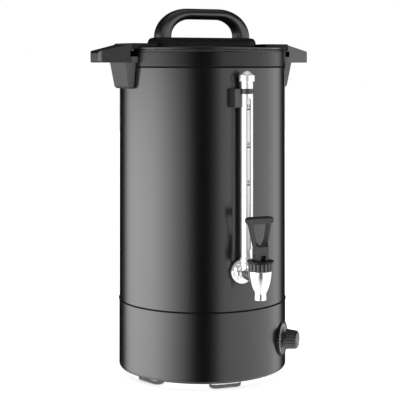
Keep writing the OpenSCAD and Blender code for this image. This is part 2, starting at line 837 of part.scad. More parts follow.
module heating_element() {
    color("#9a9a96") {
        rotate([0, 0, 90 + leg_azimuth]) rotate_extrude(angle = 360 - 2 * leg_azimuth)
            translate([element_r, element_z]) circle(element_tube_r, $fn = 48);
        for (side = [-1, 1]) at_azimuth(180 + side * leg_azimuth) translate([0, -element_r, 0]) {
            translate([0, 0, 112]) cylinder(r = element_tube_r, h = element_z - 112);
            translate([0, 0, element_z]) sphere(element_tube_r, $fn = 48);
            translate([0, 0, 106]) cylinder(r = 1.5, h = 7);
        }
    }
}

module element_washers() {
    color("#c9c9c4") for (side = [-1, 1]) at_azimuth(180 + side * leg_azimuth)
        translate([0, -element_r, 0]) tube(8.5, element_tube_r + 0.1, floor_z, floor_z + 2);
}

module element_nuts() {
    color("#c9a64e") for (side = [-1, 1]) at_azimuth(180 + side * leg_azimuth)
        translate([0, -element_r, floor_z - tank_t - 5]) nut(13, element_tube_r + 0.1, 5);
}

module reset_cutout() {
    color("#cfcabb") translate([reset_at[0], reset_at[1], plate_z + skirt_t]) difference() {
        cylinder(r = 9, h = 22);
        translate([0, 0, -1]) cylinder(r = 4, h = 8);
    }
}

module reset_button() {
    color("#b3261e") translate([reset_at[0], reset_at[1], 0]) {
        translate([0, 0, 8.6]) cylinder(r = 3.4, h = 7.5);
    }
}

module terminal_block() {
    color("#e8e6df") translate([-20, 66, plate_z + skirt_t]) difference() {
        cube([40, 18, 14]);
        for (i = [0 : 2]) translate([7 + i * 13, 9, 9]) cylinder(r = 3, h = 10);
    }
}

// The cord gland: a threaded body through the skirt's back, its clamping cap, and the nut inside.
module cord_gland() {
    inner_r = skirt_r - skirt_t;
    color("#161616") translate([0, 0, gland_z]) {
        difference() {
            union() {
                rod_y(7.9, 98, 119);
                difference() {
                    rod_y(12, 108, 119);
                    translate([0, 0, -30]) cylinder(r = skirt_r, h = 60, $fn = fine);
                }
                translate([0, 129, 0]) rotate([90, 0, 0]) cylinder(r1 = 7.5, r2 = 10, h = 10);
            }
            rod_y(4.3, 90, 140);
        }
        difference() {
            intersection() {
                translate([0, 116, 0]) rotate([90, 0, 0]) cylinder(r = 12, h = 9, $fn = 6);
                translate([0, 0, -30]) cylinder(r = inner_r, h = 60, $fn = fine);
            }
            rod_y(8, 90, 140);
        }
    }
}

// Three insulated wires: from the terminal block to the element's two pins and to the thermostat.
module wiring() {
    z0 = plate_z + skirt_t + 7;
    pins = [for (side = [-1, 1]) element_r * [-sin(side * leg_azimuth), cos(leg_azimuth), 0] + [0, 0, 105.5]];
    routes = [
        [[-13, 65, z0], [-16, 48, z0 + 4], [-40, 24, 62], [-30, 50, 96], pins[1] - [0, 0, 8], pins[1]],
        [[0, 65, z0], [4, 40, z0 + 4], [20, 0, 40], [40, -38, 44], [52, -52, 44], [57.9, -57.9, 44]],
        [[13, 65, z0], [14, 54, z0 + 8], [18, 50, 60], [16, 60, 92], pins[0] - [0, 0, 8], pins[0]]
    ];
    for (i = [0 : 2]) color(["#8a5a2b", "#2f5fa8", "#6b8e23"][i]) swept(smooth_path(routes[i]), 1.3);
}

base_skirt();
base_plate();
foot_pads();
foot_spacers();
foot_screws();
foot_nuts();
tie_rods();
tie_rod_nuts();
tank_wall();
tank_floor();
rim_collar();
rolled_rim();
left_handle();
right_handle();
handle_screws();
handle_washers();
lid_seal();
lid_pan();
lid_locating_ring();
left_lid_lug();
right_lid_lug();
lug_screws();
lid_bridge();
lid_handle();
lid_handle_screws();
tap_gasket();
tap_rosette();
tap_body();
tap_inner_washer();
tap_back_nut();
tap_spout();
tap_bonnet();
valve_stem();
valve_cup();
valve_spring();
lever_pin();
tap_lever();
gauge_nut();
gauge_seal();
gauge_glass();
gauge_shield();
gauge_clamp_ring();
gauge_cap();
gauge_bracket();
gauge_bracket_screw();
dial_bezel();
dial_plate();
knob();
knob_spindle();
thermostat();
capillary();
sensor_bulb();
heating_element();
element_washers();
element_nuts();
reset_cutout();
reset_button();
terminal_block();
cord_gland();
wiring();
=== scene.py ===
import math
from functools import partialmethod

import bmesh
import bpy
from mathutils import Matrix, Vector


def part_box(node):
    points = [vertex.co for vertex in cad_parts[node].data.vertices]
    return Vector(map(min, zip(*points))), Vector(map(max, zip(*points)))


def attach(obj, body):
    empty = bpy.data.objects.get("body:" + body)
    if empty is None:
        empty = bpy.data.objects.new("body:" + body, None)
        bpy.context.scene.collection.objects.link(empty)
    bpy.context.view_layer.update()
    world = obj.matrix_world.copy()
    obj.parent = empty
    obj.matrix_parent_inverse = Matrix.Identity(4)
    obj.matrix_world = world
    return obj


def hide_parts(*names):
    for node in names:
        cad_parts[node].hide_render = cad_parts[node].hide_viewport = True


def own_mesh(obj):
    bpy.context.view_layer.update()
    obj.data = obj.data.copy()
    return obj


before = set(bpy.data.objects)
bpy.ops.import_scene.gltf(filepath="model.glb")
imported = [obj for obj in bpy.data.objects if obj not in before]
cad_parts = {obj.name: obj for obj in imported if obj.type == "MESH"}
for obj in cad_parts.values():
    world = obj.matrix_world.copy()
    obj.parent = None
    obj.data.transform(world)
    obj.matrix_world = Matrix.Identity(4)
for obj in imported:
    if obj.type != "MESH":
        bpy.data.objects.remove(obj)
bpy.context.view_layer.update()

# ---- Camera ----
# A long lens, level with the lid and a little to the left of the tap. It looks straight ahead, so that the
# sides stay upright, and the picture is shifted down to hold the whole urn.
camera_azimuth = math.radians(26)
camera_distance = 1.655
camera_height = 0.4261


def linked(name, data):
    """A new object of this data, in the scene."""
    made = bpy.data.objects.new(name, data)
    bpy.context.collection.objects.link(made)
    return made


camera_data = bpy.data.cameras.new("camera")
camera_data.lens = 106.81
camera_data.sensor_width = 36
camera_data.shift_x = -0.00575
camera_data.shift_y = -0.34
away = Vector((math.sin(camera_azimuth), math.cos(camera_azimuth), 0))
camera = linked("camera", camera_data)
camera.location = away * -camera_distance + Vector((0, 0, camera_height))
camera.rotation_euler = (math.pi / 2, 0, -camera_azimuth)
bpy.context.scene.camera = camera

# ---- Base plate, tie rods and their nuts ----
# The bottom of the base is a pressed plate of bare steel. Three long rods pull it up against the tank's
# floor, and their nuts clamp it from below. The steel is brushed in one direction as it leaves the mill.


class Wire:
    """A socket in a node tree. Python's operators on it add Math nodes, and node() adds any other."""

    def __init__(self, tree, socket=None):
        self.tree = tree
        self.socket = socket

    def node(self, kind, settings=None, inputs=None, out=0):
        made = self.tree.nodes.new(kind)
        for name, value in (settings or {}).items():
            if name != "stops":
                setattr(made, name, value)
                continue
            stops = made.color_ramp.elements
            while len(stops) < len(value):
                stops.new(1.0)
            for stop, (place, colour) in zip(stops, value):
                stop.position = place
                stop.color = colour
        for name, value in (inputs or {}).items():
            if isinstance(value, Wire):
                self.tree.links.new(value.socket, made.inputs[name])
            else:
                made.inputs[name].default_value = value
        return Wire(self.tree, made.outputs[out])

    def math(self, operation, *values):
        kind = "ShaderNodeMath"
        return self.node(kind, {"operation": operation}, dict(enumerate((self, *values))))

    __add__ = __radd__ = partialmethod(math, "ADD")
    __sub__ = partialmethod(math, "SUBTRACT")
    __mul__ = __rmul__ = partialmethod(math, "MULTIPLY")
    __truediv__ = partialmethod(math, "DIVIDE")
    __pow__ = partialmethod(math, "POWER")
    __gt__ = partialmethod(math, "GREATER_THAN")
    __lt__ = partialmethod(math, "LESS_THAN")

    def __rsub__(self, other):
        return self * -1.0 + other

    def ease(self, low, high):
        """0 below low, 1 above high, and a smooth step between them."""
        settings = {"interpolation_type": "SMOOTHSTEP"}
        return self.node("ShaderNodeMapRange", settings, {"Value": self, "From Min": low, "From Max": high})

    def blend(self, low, high):
        """The colour low where this mask is 0, and high where it is 1."""
        return self.node("ShaderNodeMix", {"data_type": "RGBA"}, {0: self, 6: low, 7: high}, out=2)


def height_at(place):
    """How high a point lies, in metres."""
    return place.node("ShaderNodeSeparateXYZ", None, {"Vector": place}, out="Z")


def grey(value, warmth=0.0):
    return (value * (1 + warmth), value, value * (1 - warmth), 1)


def new_finish(name, **constants):
    """A material with one Principled shader. Returns it, its tree's object coordinates and its shader."""
    made = bpy.data.materials.new(name)
    made.use_nodes = True
    shader = made.node_tree.nodes["Principled BSDF"]
    for socket, value in constants.items():
        shader.inputs[socket.replace("_", " ")].default_value = value
    place = Wire(made.node_tree).node("ShaderNodeTexCoord", out="Object")
    return made, place, shader


def feed(shader, **values):
    """Links worked-out values to a shader's sockets."""
    for socket, value in values.items():
        value.tree.links.new(value.socket, shader.inputs[socket.replace("_", " ")])


def noise(place, scale, detail=3.0, stretch=(1, 1, 1)):
    """Noise over a surface, in marks per metre, pulled longer where stretch is below 1."""
    if stretch != (1, 1, 1):
        place = place.node("ShaderNodeMapping", None, {"Vector": place, "Scale": stretch})
    return place.node("ShaderNodeTexNoise", None, {"Vector": place, "Scale": scale, "Detail": detail})


def bump(height, distance, strength=1.0):
    values = {"Height": height, "Distance": distance, "Strength": strength}
    return height.node("ShaderNodeBump", None, values)


def brushed_steel(name, tone, stretch):
    """Bare steel with fine brush lines that run along the axes where stretch is small."""
    made, place, shader = new_finish(name, Metallic=1.0)
    lines = noise(place, 1400, 2.0, stretch)
    stains = noise(place, 24, 4.0)
    feed(
        shader,
        Base_Color=(stains * 0.7 + lines * 0.3).blend(grey(tone * 0.86, 0.01), grey(tone * 1.08, 0.01)),
        Roughness=0.24 + lines * 0.12 + stains * 0.06,
        Normal=bump(lines, 0.00004, 0.5),
    )
    return made


def dress(finish, *nodes):
    """Gives construction solids their finish."""
    for node in nodes:
        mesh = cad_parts[node].data
        mesh.materials.clear()
        mesh.materials.append(finish)


plate_steel = brushed_steel("plate_steel", 0.56, (0.03, 1, 1))
rod_steel = brushed_steel("rod_steel", 0.6, (1, 1, 0.05))
dress(plate_steel, "base_plate")
dress(rod_steel, "tie_rods", "tie_rod_nuts")

# ---- Feet ----
# Four moulded rubber pads with round ends stand under the base's edge. A pale spacer lies on each of them,
# and a cross-head screw through both is held by a nut on the base plate.
foot_l = 44.0
foot_w = 18.0
foot_r = 92.0
foot_first = -74.0
foot_pair_gap = 67.0
pad_dip = 1.0
pad_edge = 3.0
spacer_edge = 0.5
spacer_inset = 1.0


def box_mm(node):
    """A solid's lowest and highest corner, in millimetres."""
    return [Vector(corner) * 1000 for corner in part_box(node)]


def to_mesh(name, bm):
    mesh = bpy.data.meshes.new(name)
    bm.to_mesh(mesh)
    bm.free()
    return mesh


def new_object(name, bm):
    """Makes an object of a mesh that was drawn in millimetres, with its faces turned outwards."""
    bmesh.ops.remove_doubles(bm, verts=bm.verts, dist=0.0005)
    bmesh.ops.recalc_face_normals(bm, faces=bm.faces)
    bmesh.ops.scale(bm, vec=(0.001,) * 3, verts=bm.verts)
    return linked(name, to_mesh(name, bm))


def crisp(piece, angle=38):
    """Smooth shading that keeps its edges, with the flats' normals left flat."""
    piece.data.shade_smooth()
    piece.data.set_sharp_from_angle(angle=math.radians(angle))
    modifier = piece.modifiers.new("flat_faces", "WEIGHTED_NORMAL")
    modifier.keep_sharp = True
    modifier.weight = 60
    return piece


def moved(piece, x=0, y=0, z=0, turn=0, about="Z"):
    """Turns a piece's mesh about an axis, in degrees, and then moves it, in millimetres."""
    move = Matrix.Translation((x / 1000, y / 1000, z / 1000))
    piece.data.transform(move @ Matrix.Rotation(math.radians(turn), 4, about))
    return piece


def fit(piece, finish, body, slot, *nodes):
    """Gives a finished piece its material, its body and the solids that it stands for. slot is not used."""
    if finish:
        piece.data.materials.clear()
        piece.data.materials.append(finish)
    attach(piece, body)
    if nodes:
        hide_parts(*nodes)
    return piece


def stadium(length, width, inset=0.0, steps=14):
    """Points round an outline with straight sides and round ends, its long side along X."""
    half = (length - width) / 2
    r = width / 2 - inset
    turns = [math.pi * (i / steps - 0.5) for i in range(steps + 1)]
    right = [(half + r * math.cos(a), r * math.sin(a)) for a in turns]
    return right + [(-x, -y) for x, y in right]


def loft(name, rings):
    """A closed skin over rings of points, each with as many points as the next, with both ends filled."""
    bm = bmesh.new()
    rows = [[bm.verts.new(point) for point in ring] for ring in rings]
    for low, high in zip(rows, rows[1:]):
        for i in range(len(low)):
            j = (i + 1) % len(low)
            bm.faces.new((low[i], low[j], high[j], high[i]))
    bm.faces.new(rows[0])
    bm.faces.new(rows[-1])
    return new_object(name, bm)


def edge_steps(radius, steps=4):
    """(inset, drop) pairs round a quarter circle, from the side of a slab to its face."""
    turns = [math.pi / 2 * i / steps for i in range(steps + 1)]
    return [(radius * (1 - math.cos(a)), radius * (1 - math.sin(a))) for a in turns]


def slab_rings(outline, low, high, r_low, r_high):
    """Rings of a slab with rounded edges. outline(inset) gives its points at an inset from its side."""
    under = [(inset, low + drop) for inset, drop in reversed(edge_steps(r_low))]
    over = [(inset, high - drop) for inset, drop in edge_steps(r_high)]
    return [[(x, y, z) for x, y in outline(inset)] for inset, z in under + over]


def repeat_tree():
    """Geometry nodes that repeat a shape about Z: the first copy at Start, each next one Step further."""
    tree = bpy.data.node_groups.new("repeat_about_axis", "GeometryNodeTree")
    face = tree.interface
    face.new_socket("Geometry", in_out="INPUT", socket_type="NodeSocketGeometry")
    for name, kind in (("Count", "Int"), ("Start", "Float"), ("Step", "Float")):
        face.new_socket(name, in_out="INPUT", socket_type="NodeSocket" + kind)
    face.new_socket("Finish", in_out="INPUT", socket_type="NodeSocketMaterial")
    face.new_socket("Geometry", in_out="OUTPUT", socket_type="NodeSocketGeometry")
    given = tree.nodes.new("NodeGroupInput")

    def value(name):
        return Wire(tree, given.outputs[name])

    index = Wire(tree).node("GeometryNodeInputIndex")
    turn = value("Start") + index * value("Step")
    spin = turn.node("ShaderNodeCombineXYZ", None, {"Z": turn})
    points = turn.node("GeometryNodeMeshLine", None, {"Count": value("Count"), "Offset": (0, 0, 0)})
    chosen = {"Points": points, "Instance": value("Geometry"), "Rotation": spin}
    copies = turn.node("GeometryNodeInstanceOnPoints", None, chosen)
    solid = turn.node("GeometryNodeRealizeInstances", None, {"Geometry": copies})
    made = turn.node("GeometryNodeSetMaterial", None, {"Geometry": solid, "Material": value("Finish")})
    leave = tree.nodes.new("NodeGroupOutput")
    tree.links.new(made.socket, leave.inputs["Geometry"])
    return tree


repeat_about_axis = repeat_tree()


def repeated(piece, finish, *passes):
    """Repeats a piece about Z. Each pass is (count, first angle, angle step), in degrees."""
    for count, start, step in passes:
        modifier = piece.modifiers.new("repeat", "NODES")
        modifier.node_group = repeat_about_axis
        turns = {"Start": math.radians(start), "Step": math.radians(step)}
        values = {"Count": count, **turns, "Finish": finish}
        for item in repeat_about_axis.interface.items_tree:
            if item.in_out == "INPUT" and item.name in values:
                modifier[item.identifier] = values[item.name]
    return baked(piece)


def seen_mesh(piece):
    """A plain mesh of what an object shows."""
    bpy.context.view_layer.update()
    return bpy.data.meshes.new_from_object(piece.evaluated_get(bpy.context.evaluated_depsgraph_get()))


def baked(piece):
    """Replaces a piece's mesh by what its modifiers make of it."""
    mesh = seen_mesh(piece)
    mesh.name = piece.name
    piece.modifiers.clear()
    piece.data = mesh
    return piece


def rubber(name, tone):
    """Moulded rubber: matt, faintly grainy and dusty in patches."""
    made, place, shader = new_finish(name, Specular_IOR_Level=0.35)
    grain = noise(place, 2600, 2.0)
    dust = noise(place, 60, 5.0)
    feed(
        shader,
        Base_Color=dust.ease(0.45, 0.8).blend(grey(tone), grey(tone * 1.9 + 0.006)),
        Roughness=0.62 + grain * 0.16,
        Normal=bump(grain, 0.00008, 0.4),
    )
    return made


def moulded(name, dark, light, roughness, grain_depth, specular=0.5, shaded_top_z=None):
    """Moulded plastic of two tones and a fine spark-eroded grain, painted dull black as shade above a given
    height.
    """
    made, place, shader = new_finish(name, Specular_IOR_Level=specular)
    grain = noise(place, 3200, 2.0)
    cloud = noise(place, 35, 4.0)
    colour = cloud.blend(dark, light)
    rough = roughness - 0.04 + grain * 0.05 + cloud * 0.04
    if shaded_top_z:
        strip = height_at(place) > shaded_top_z / 1000
        colour = strip.blend(colour, grey(0.001))
        rough = rough + strip * 0.45
    feed(shader, Base_Color=colour, Roughness=rough, Normal=bump(grain, grain_depth, 0.5))
    return made


foot_rubber = rubber("foot_rubber", 0.02)
pad_rubber = rubber("pad_rubber", 0.2)
spacer_glow_plastic = moulded("spacer_glow_plastic", grey(0.8, 0.02), grey(0.88, 0.02), 0.5, 0.00003)
# The spacers glow faintly white: painted light in the shaded gap between each pad and the skirt.
spacer_sockets = spacer_glow_plastic.node_tree.nodes["Principled BSDF"].inputs
spacer_sockets["Emission Color"].default_value = grey(1.0)
spacer_sockets["Emission Strength"].default_value = 0.45
pad_low, pad_high = box_mm("foot_pads")
spacer_low, spacer_high = box_mm("foot_spacers")


def foot_part(name, inset, low, high, edge, finish):
    """Four copies of a slab with round ends, under the skirt's edge."""
    size = (foot_l - 2 * inset, foot_w - 2 * inset)
    part = loft(name, slab_rings(lambda more: stadium(*size, more), low, high, edge, edge * 0.4))
    moved(part, y=-foot_r)
    return crisp(repeated(part, finish, (2, foot_first, foot_pair_gap), (2, 0, 180)))


pads = foot_part("foot_pads_rubber", 0, pad_low.z, pad_high.z - pad_dip, pad_edge, pad_rubber)
fit(pads, None, "urn", "black_rubber", "foot_pads")
spacers = foot_part(
    "foot_spacers_pale", spacer_inset, spacer_low.z - pad_dip, spacer_high.z, spacer_edge, spacer_glow_plastic
)
fit(spacers, None, "urn", "pale_plastic", "foot_spacers")
dress(rod_steel, "foot_screws", "foot_nuts")

# ---- Base skirt ----
# A spun steel drum with a rolled lower corner and a spigot that enters the tank. It is coated inside and
# out with a satin black powder that flows to a very fine orange peel. Its lowest edge is painted near black
# as shade, and a dull black ring at the joint is painted shade for the dark line there.
skirt_low, skirt_high = box_mm("base_skirt")
skirt_r = 115.4
skirt_t = 1.2
skirt_top = 102.7
skirt_corner = 4.0
lip_r = 104.0
bead_r = skirt_high.x
spigot_r = 113.9
shaded_edge_h = 2.0


def arc(centre, r, start, end, steps=8):
    """Points along an arc, with its angles in degrees."""
    turns = [math.radians(start + (end - start) * i / steps) for i in range(steps + 1)]
    return [(centre[0] + r * math.cos(a), centre[1] + r * math.sin(a)) for a in turns]


def rounded(outline, r, steps=4, reach=0.8):
    """A closed outline with its corners rounded to r, and support points that keep the flats flat."""
    points = []
    for i, corner in enumerate(outline):
        p = Vector(corner)
        back = Vector(outline[i - 1]) - p
        ahead = Vector(outline[(i + 1) % len(outline)]) - p
        turn = back.angle(ahead, math.pi)
        if turn > math.radians(165) or min(back.length, ahead.length) < 1e-6:
            points.append(tuple(p))
            continue
        cut = min(r / math.tan(turn / 2), back.length * 0.42, ahead.length * 0.42)
        near, far = p + back.normalized() * cut, p + ahead.normalized() * cut
        if back.length > 4 * (cut + reach):
            points.append(tuple(near + back.normalized() * reach))
        for k in range(steps + 1):
            t = k / steps
            points.append(tuple((1 - t) ** 2 * near + 2 * t * (1 - t) * p + t * t * far))
        if ahead.length > 4 * (cut + reach):
            points.append(tuple(far + ahead.normalized() * reach))
    return points


def ring_outline(r_in, r_out, low, high, edge):
    """The outline of a plain ring with rounded edges."""
    return rounded([(r_in, low), (r_out, low), (r_out, high), (r_in, high)], edge)


def lathe(name, outline, centre=(0, 0), segments=128):
    """Turns a closed outline of (radius, height) about an upright axis, in millimetres."""
    bm = bmesh.new()
    rings = []
    for r, z in outline:
        if r < 1e-4:
            rings.append([bm.verts.new((centre[0], centre[1], z))] * segments)
            continue
        turns = [math.tau * i / segments for i in range(segments)]
        rings.append([
            bm.verts.new((centre[0] + r * math.cos(a), centre[1] + r * math.sin(a), z)) for a in turns
        ])
    for i, low in enumerate(rings):
        high = rings[(i + 1) % len(rings)]
        if low[0] is low[1] and high[0] is high[1]:
            continue
        for k in range(segments):
            n = (k + 1) % segments
            corners = dict.fromkeys((low[k], low[n], high[n], high[k]))
            bm.faces.new(corners)
    return new_object(name, bm)


def outwards(piece, azimuth, height):
    """Lays a piece that was drawn about Z so that its Z points out of the urn at that azimuth."""
    a = math.radians(azimuth)
    turn = Matrix((
        (math.cos(a), 0, math.sin(a), 0), (math.sin(a), 0, -math.cos(a), 0),
        (0, 1, 0, height / 1000), (0, 0, 0, 1),
    ))
    piece.data.transform(turn)
    return piece


def turned(name, outline, finish, slot, *nodes, centre=(0, 0), aim=None, segments=128, angle=45, body="urn"):
    """A finished piece turned about an upright axis, or about one that points outwards at aim."""
    piece = lathe(name, outline, centre, segments)
    if aim:
        outwards(piece, *aim)
    return fit(crisp(piece, angle), finish, body, slot, *nodes)


def powder_coat(name, place_mask=None, under=0.55, gloss=0.95, roughness=0.2, specular=0.15):
    """Satin black powder coat. Where place_mask gives 0, brushed steel of the tone under shows bare."""
    made, place, shader = new_finish(
        name, Coat_Weight=gloss, Coat_Roughness=roughness, Coat_IOR=1.5, Specular_IOR_Level=specular
    )
    peel = noise(place, 900, 2.0)
    cloud = noise(place, 9, 3.0)
    colour = cloud.blend(grey(0.0018), grey(0.0028))
    rough = roughness + 0.06 + peel * 0.03 + cloud * 0.04
    relief = peel * 0.6
    if place_mask:
        coated = place_mask(place)
        lines = noise(place, 1400, 2.0, (0.03, 0.03, 1))
        colour = coated.blend(lines.blend(grey(under * 0.9, 0.01), grey(under * 1.06, 0.01)), colour)
        rough = rough * coated + (0.26 + lines * 0.1) * (1 - coated)
        relief = relief * coated + lines * (1 - coated)
        feed(shader, Metallic=1 - coated, Coat_Weight=coated * gloss)
    feed(shader, Base_Color=colour, Roughness=rough, Normal=bump(relief, 0.00002, 0.25))
    return made


def axis_distance(place):
    """How far a point lies from the urn's axis."""
    flat = place.node("ShaderNodeVectorMath", {"operation": "MULTIPLY"}, {0: place, 1: (1, 1, 0)})
    return flat.node("ShaderNodeVectorMath", {"operation": "LENGTH"}, {0: flat}, out="Value")


def shaded_edge_mask(place):
    """0 on the skirt's lowest edge, which is painted near black as shade under the urn, and 1 above it."""
    return height_at(place) > (skirt_low.z + shaded_edge_h) / 1000


black_coat = powder_coat("black_coat")
# The skirt's lowest edge shows near-black bare steel with no coat: painted shade along the bottom.
skirt_edge_shaded_coat = powder_coat("skirt_edge_shaded_coat", shaded_edge_mask, under=0.002)
corner_centre = (skirt_r - skirt_corner, skirt_low.z + skirt_corner)
skirt_outline = [
    *arc(corner_centre, skirt_corner, -90, 0),
    *[(skirt_r, skirt_low.z + skirt_corner + 2), (skirt_r, skirt_top - 3), (skirt_r, skirt_top - 1.3)],
    *[(skirt_r - 0.3, skirt_top - 1), (spigot_r, skirt_top - 1)],
    *[(spigot_r, skirt_high.z), (spigot_r - skirt_t, skirt_high.z)],
    *[(spigot_r - skirt_t, skirt_top - 4), (skirt_r - skirt_t, skirt_top - 6)],
    *arc(corner_centre, skirt_corner - skirt_t, 0, -90),
    *[(lip_r, skirt_low.z + skirt_t), (lip_r, skirt_low.z)],
]
broad = {"segments": 192, "angle": 38}
turned("base_skirt_coated", skirt_outline, skirt_edge_shaded_coat, "black_coated_steel", "base_skirt", **broad)


def shade_line_finish():
    """Dull near-black finish with smeared tone, painted shade for the dark line along a joint."""
    made, place, shader = new_finish("joint_shade_line", Specular_IOR_Level=0.08)
    smear = noise(place, 140, 4.0)
    feed(shader, Base_Color=smear.blend(grey(0.002), grey(0.006)), Roughness=0.7 + smear * 0.15)
    return made


def joint(name, r_in, r_out, low, high):
    """A ring of dull black round the urn, painted shade for the dark line at a joint, with a rounded outer
    face.
    """
    outline = ring_outline(r_in, r_out, low, high, 0.5)
    turned(name, outline, joint_shade_line, "black_rubber", segments=192, angle=60)


joint_shade_line = shade_line_finish()
joint("tank_joint_shade_line", skirt_r - 1.4, bead_r - 0.1, skirt_top - 1, skirt_top + 0.7)

# ---- Heating element and the electrics inside the base ----
# A sheathed ring element stands just above the tank's floor, sealed by washers and brass nuts. Below the
# floor are the boil-dry cut-out with its red reset button, the terminal block and sleeved wires.
element_steel = brushed_steel("element_steel", 0.36, (0.2, 0.2, 0.2))
silicone = rubber("silicone", 0.55)
cream_plastic = moulded("cream_plastic", (0.62, 0.58, 0.47, 1), (0.7, 0.66, 0.55, 1), 0.45, 0.00003)
red_plastic = moulded("red_plastic", (0.42, 0.012, 0.012, 1), (0.5, 0.02, 0.018, 1), 0.3, 0.00001)


def warm_metal(name, colour, tarnish):
    """Drawn copper or turned brass, with darker tarnish in clouds."""
    made, place, shader = new_finish(name, Metallic=1.0)
    cloud = noise(place, 90, 5.0)
    marks = noise(place, 1500, 2.0, (1, 1, 0.1))
    feed(
        shader,
        Base_Color=cloud.ease(0.4, 0.75).blend(colour, tarnish),
        Roughness=0.26 + cloud * 0.14 + marks * 0.06,
        Normal=bump(marks, 0.00003, 0.4),
    )
    return made


def wire_sleeve():
    """Braided glass-silk sleeving: two crossing sets of fine threads."""
    made, place, shader = new_finish("wire_sleeve")
    cross = {"Vector": place, "Scale": 900.0, "Distortion": 1.5}
    threads = place.node("ShaderNodeTexWave", {"bands_direction": "DIAGONAL"}, cross, out="Fac")
    feed(
        shader,
        Base_Color=threads.blend((0.16, 0.19, 0.25, 1), (0.26, 0.3, 0.37, 1)),
        Roughness=0.55 + threads * 0.2,
        Normal=bump(threads, 0.0001, 0.5),
    )
    return made


copper = warm_metal("copper_tube", (0.72, 0.36, 0.2, 1), (0.4, 0.19, 0.1, 1))
brass = warm_metal("turned_brass", (0.72, 0.53, 0.22, 1), (0.5, 0.34, 0.13, 1))
dress(element_steel, "heating_element")
dress(silicone, "element_washers")
dress(brass, "element_nuts")
dress(cream_plastic, "reset_cutout", "terminal_block")
dress(red_plastic, "reset_button")
dress(wire_sleeve(), "wiring")

# ---- Tank wall and floor ----
# A tube of thin stainless steel, coated black outside and left brushed inside, with a pressed floor welded
# into it. The tank stands on the skirt's upper edge.
tank_low, tank_high = box_mm("tank_wall")
tank_r = tank_high.x
tank_t = 1.0
bore_r = tank_r - tank_t
outside_tank = (tank_r - 0.4) / 1000
tank_coat = powder_coat("tank_coat", lambda place: axis_distance(place) > outside_tank)
wall_outline = ring_outline(bore_r, tank_r, tank_low.z, tank_high.z, 0.3)
turned("tank_wall_coated", wall_outline, tank_coat, "black_coated_steel", "tank_wall", **broad)
floor_steel = brushed_steel("floor_steel", 0.55, (0.3, 0.3, 1))
dress(floor_steel, "tank_floor")

# ---- Rim collar and rolled rim ----
# A coated band stiffens the top of the wall. Above it the sheet is rolled over a wire into a round bead,
# on which the lid's flange rests.
collar_low, collar_high = box_mm("rim_collar")
rim_low, rim_high = box_mm("rolled_rim")
collar_outline = ring_outline(tank_r, collar_high.x, collar_low.z, collar_high.z, 0.35)
collar_coat = powder_coat("collar_coat", gloss=0.4)
turned("rim_collar_coated", collar_outline, collar_coat, "black_coated_steel", "rim_collar", **broad)
# A dull black ring under the collar is painted shade for the shadow line below its edge.
collar_joint_h = 2.2
joint("collar_joint_shade_line", tank_r - 0.2, tank_r + 0.6, collar_low.z - collar_joint_h, collar_low.z)
roll_r = (rim_high.z - rim_low.z) / 2
roll_z = rim_low.z + roll_r
rim_outline = arc((rim_high.x - roll_r, roll_z), roll_r, -90, 90, 12)
rim_outline += arc((bore_r - 1 + roll_r, roll_z), roll_r, 90, 270, 12)
turned(
    "rolled_rim_bead", rim_outline, black_coat, "black_coated_steel", "rolled_rim", segments=192, angle=60
)

# ---- Side handles ----
# Each side handle is one phenolic moulding: a shelf grip on a bracket leg that is screwed to the tank from
# inside. Its root holds the channel in which the lid's lug turns. The mould leaves soft edges.


def softened(node, name, edge, chosen, finish, body="urn"):
    """Makes a finished copy of a moulded solid, its flats whole and the chosen sharp edges rounded."""
    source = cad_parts[node].data
    bm = bmesh.new()
    made = [bm.verts.new(v.co * 1000) for v in source.vertices]
    for face in source.polygons:
        bm.faces.new([made[i] for i in face.vertices])
    bmesh.ops.remove_doubles(bm, verts=bm.verts, dist=0.002)
    bmesh.ops.dissolve_degenerate(bm, dist=0.002, edges=bm.edges)
    bmesh.ops.dissolve_limit(bm, angle_limit=math.radians(0.6), verts=bm.verts, edges=bm.edges)
    sharp = []
    for line in bm.edges:
        middle = (line.verts[0].co + line.verts[1].co) / 2
        if len(line.link_faces) == 2 and line.calc_face_angle() > math.radians(32) and chosen(middle):
            sharp.append(line)
    bmesh.ops.bevel(
        bm, geom=sharp, offset=edge, offset_type="OFFSET", segments=3, profile=0.5,
        affect="EDGES", clamp_overlap=True,
    )
    bmesh.ops.triangulate(bm, faces=[face for face in bm.faces if len(face.verts) > 4])
    fit(crisp(new_object(name, bm), 40), finish, body, "black_phenolic", node)


phenolic = moulded("black_phenolic", grey(0.0075), grey(0.0105), 0.38, 0.00004, 0.9)
handle_edge = 1.3
channel_r = 126.4
channel_z = 434.0
channel_back = 117.0


def clear_of_channel(p):
    """Whether an edge lies outside the lid's channel, whose edges stay sharp."""
    return math.hypot(p.x, p.y) > channel_r or (p.z < channel_z and abs(p.x) > channel_back)


for side in ("left", "right"):
    softened(side + "_handle", side + "_handle_moulding", handle_edge, clear_of_channel, phenolic)
dress(rod_steel, "handle_screws")
dress(silicone, "handle_washers")

# ---- Lid pan, its seal and locating ring ----
# The lid is a coated steel disc with a turned-down edge and a raised middle. A black rubber seal under its
# flange rests in the rim, and a welded ring keeps it central in the tank.
lid_low, lid_high = box_mm("lid_pan")
lid_z = 448.2
lid_t = 1.0
lid_r = lid_high.x
raised_r = 95.0
under_lid = (lid_z - 0.6) / 1000


def lid_top_mask(place):
    """1 on the lid's coated outside, 0 on its bare underside."""
    edge = axis_distance(place) > (lid_r - 1.2) / 1000
    return (height_at(place) > under_lid).math("MAXIMUM", edge)


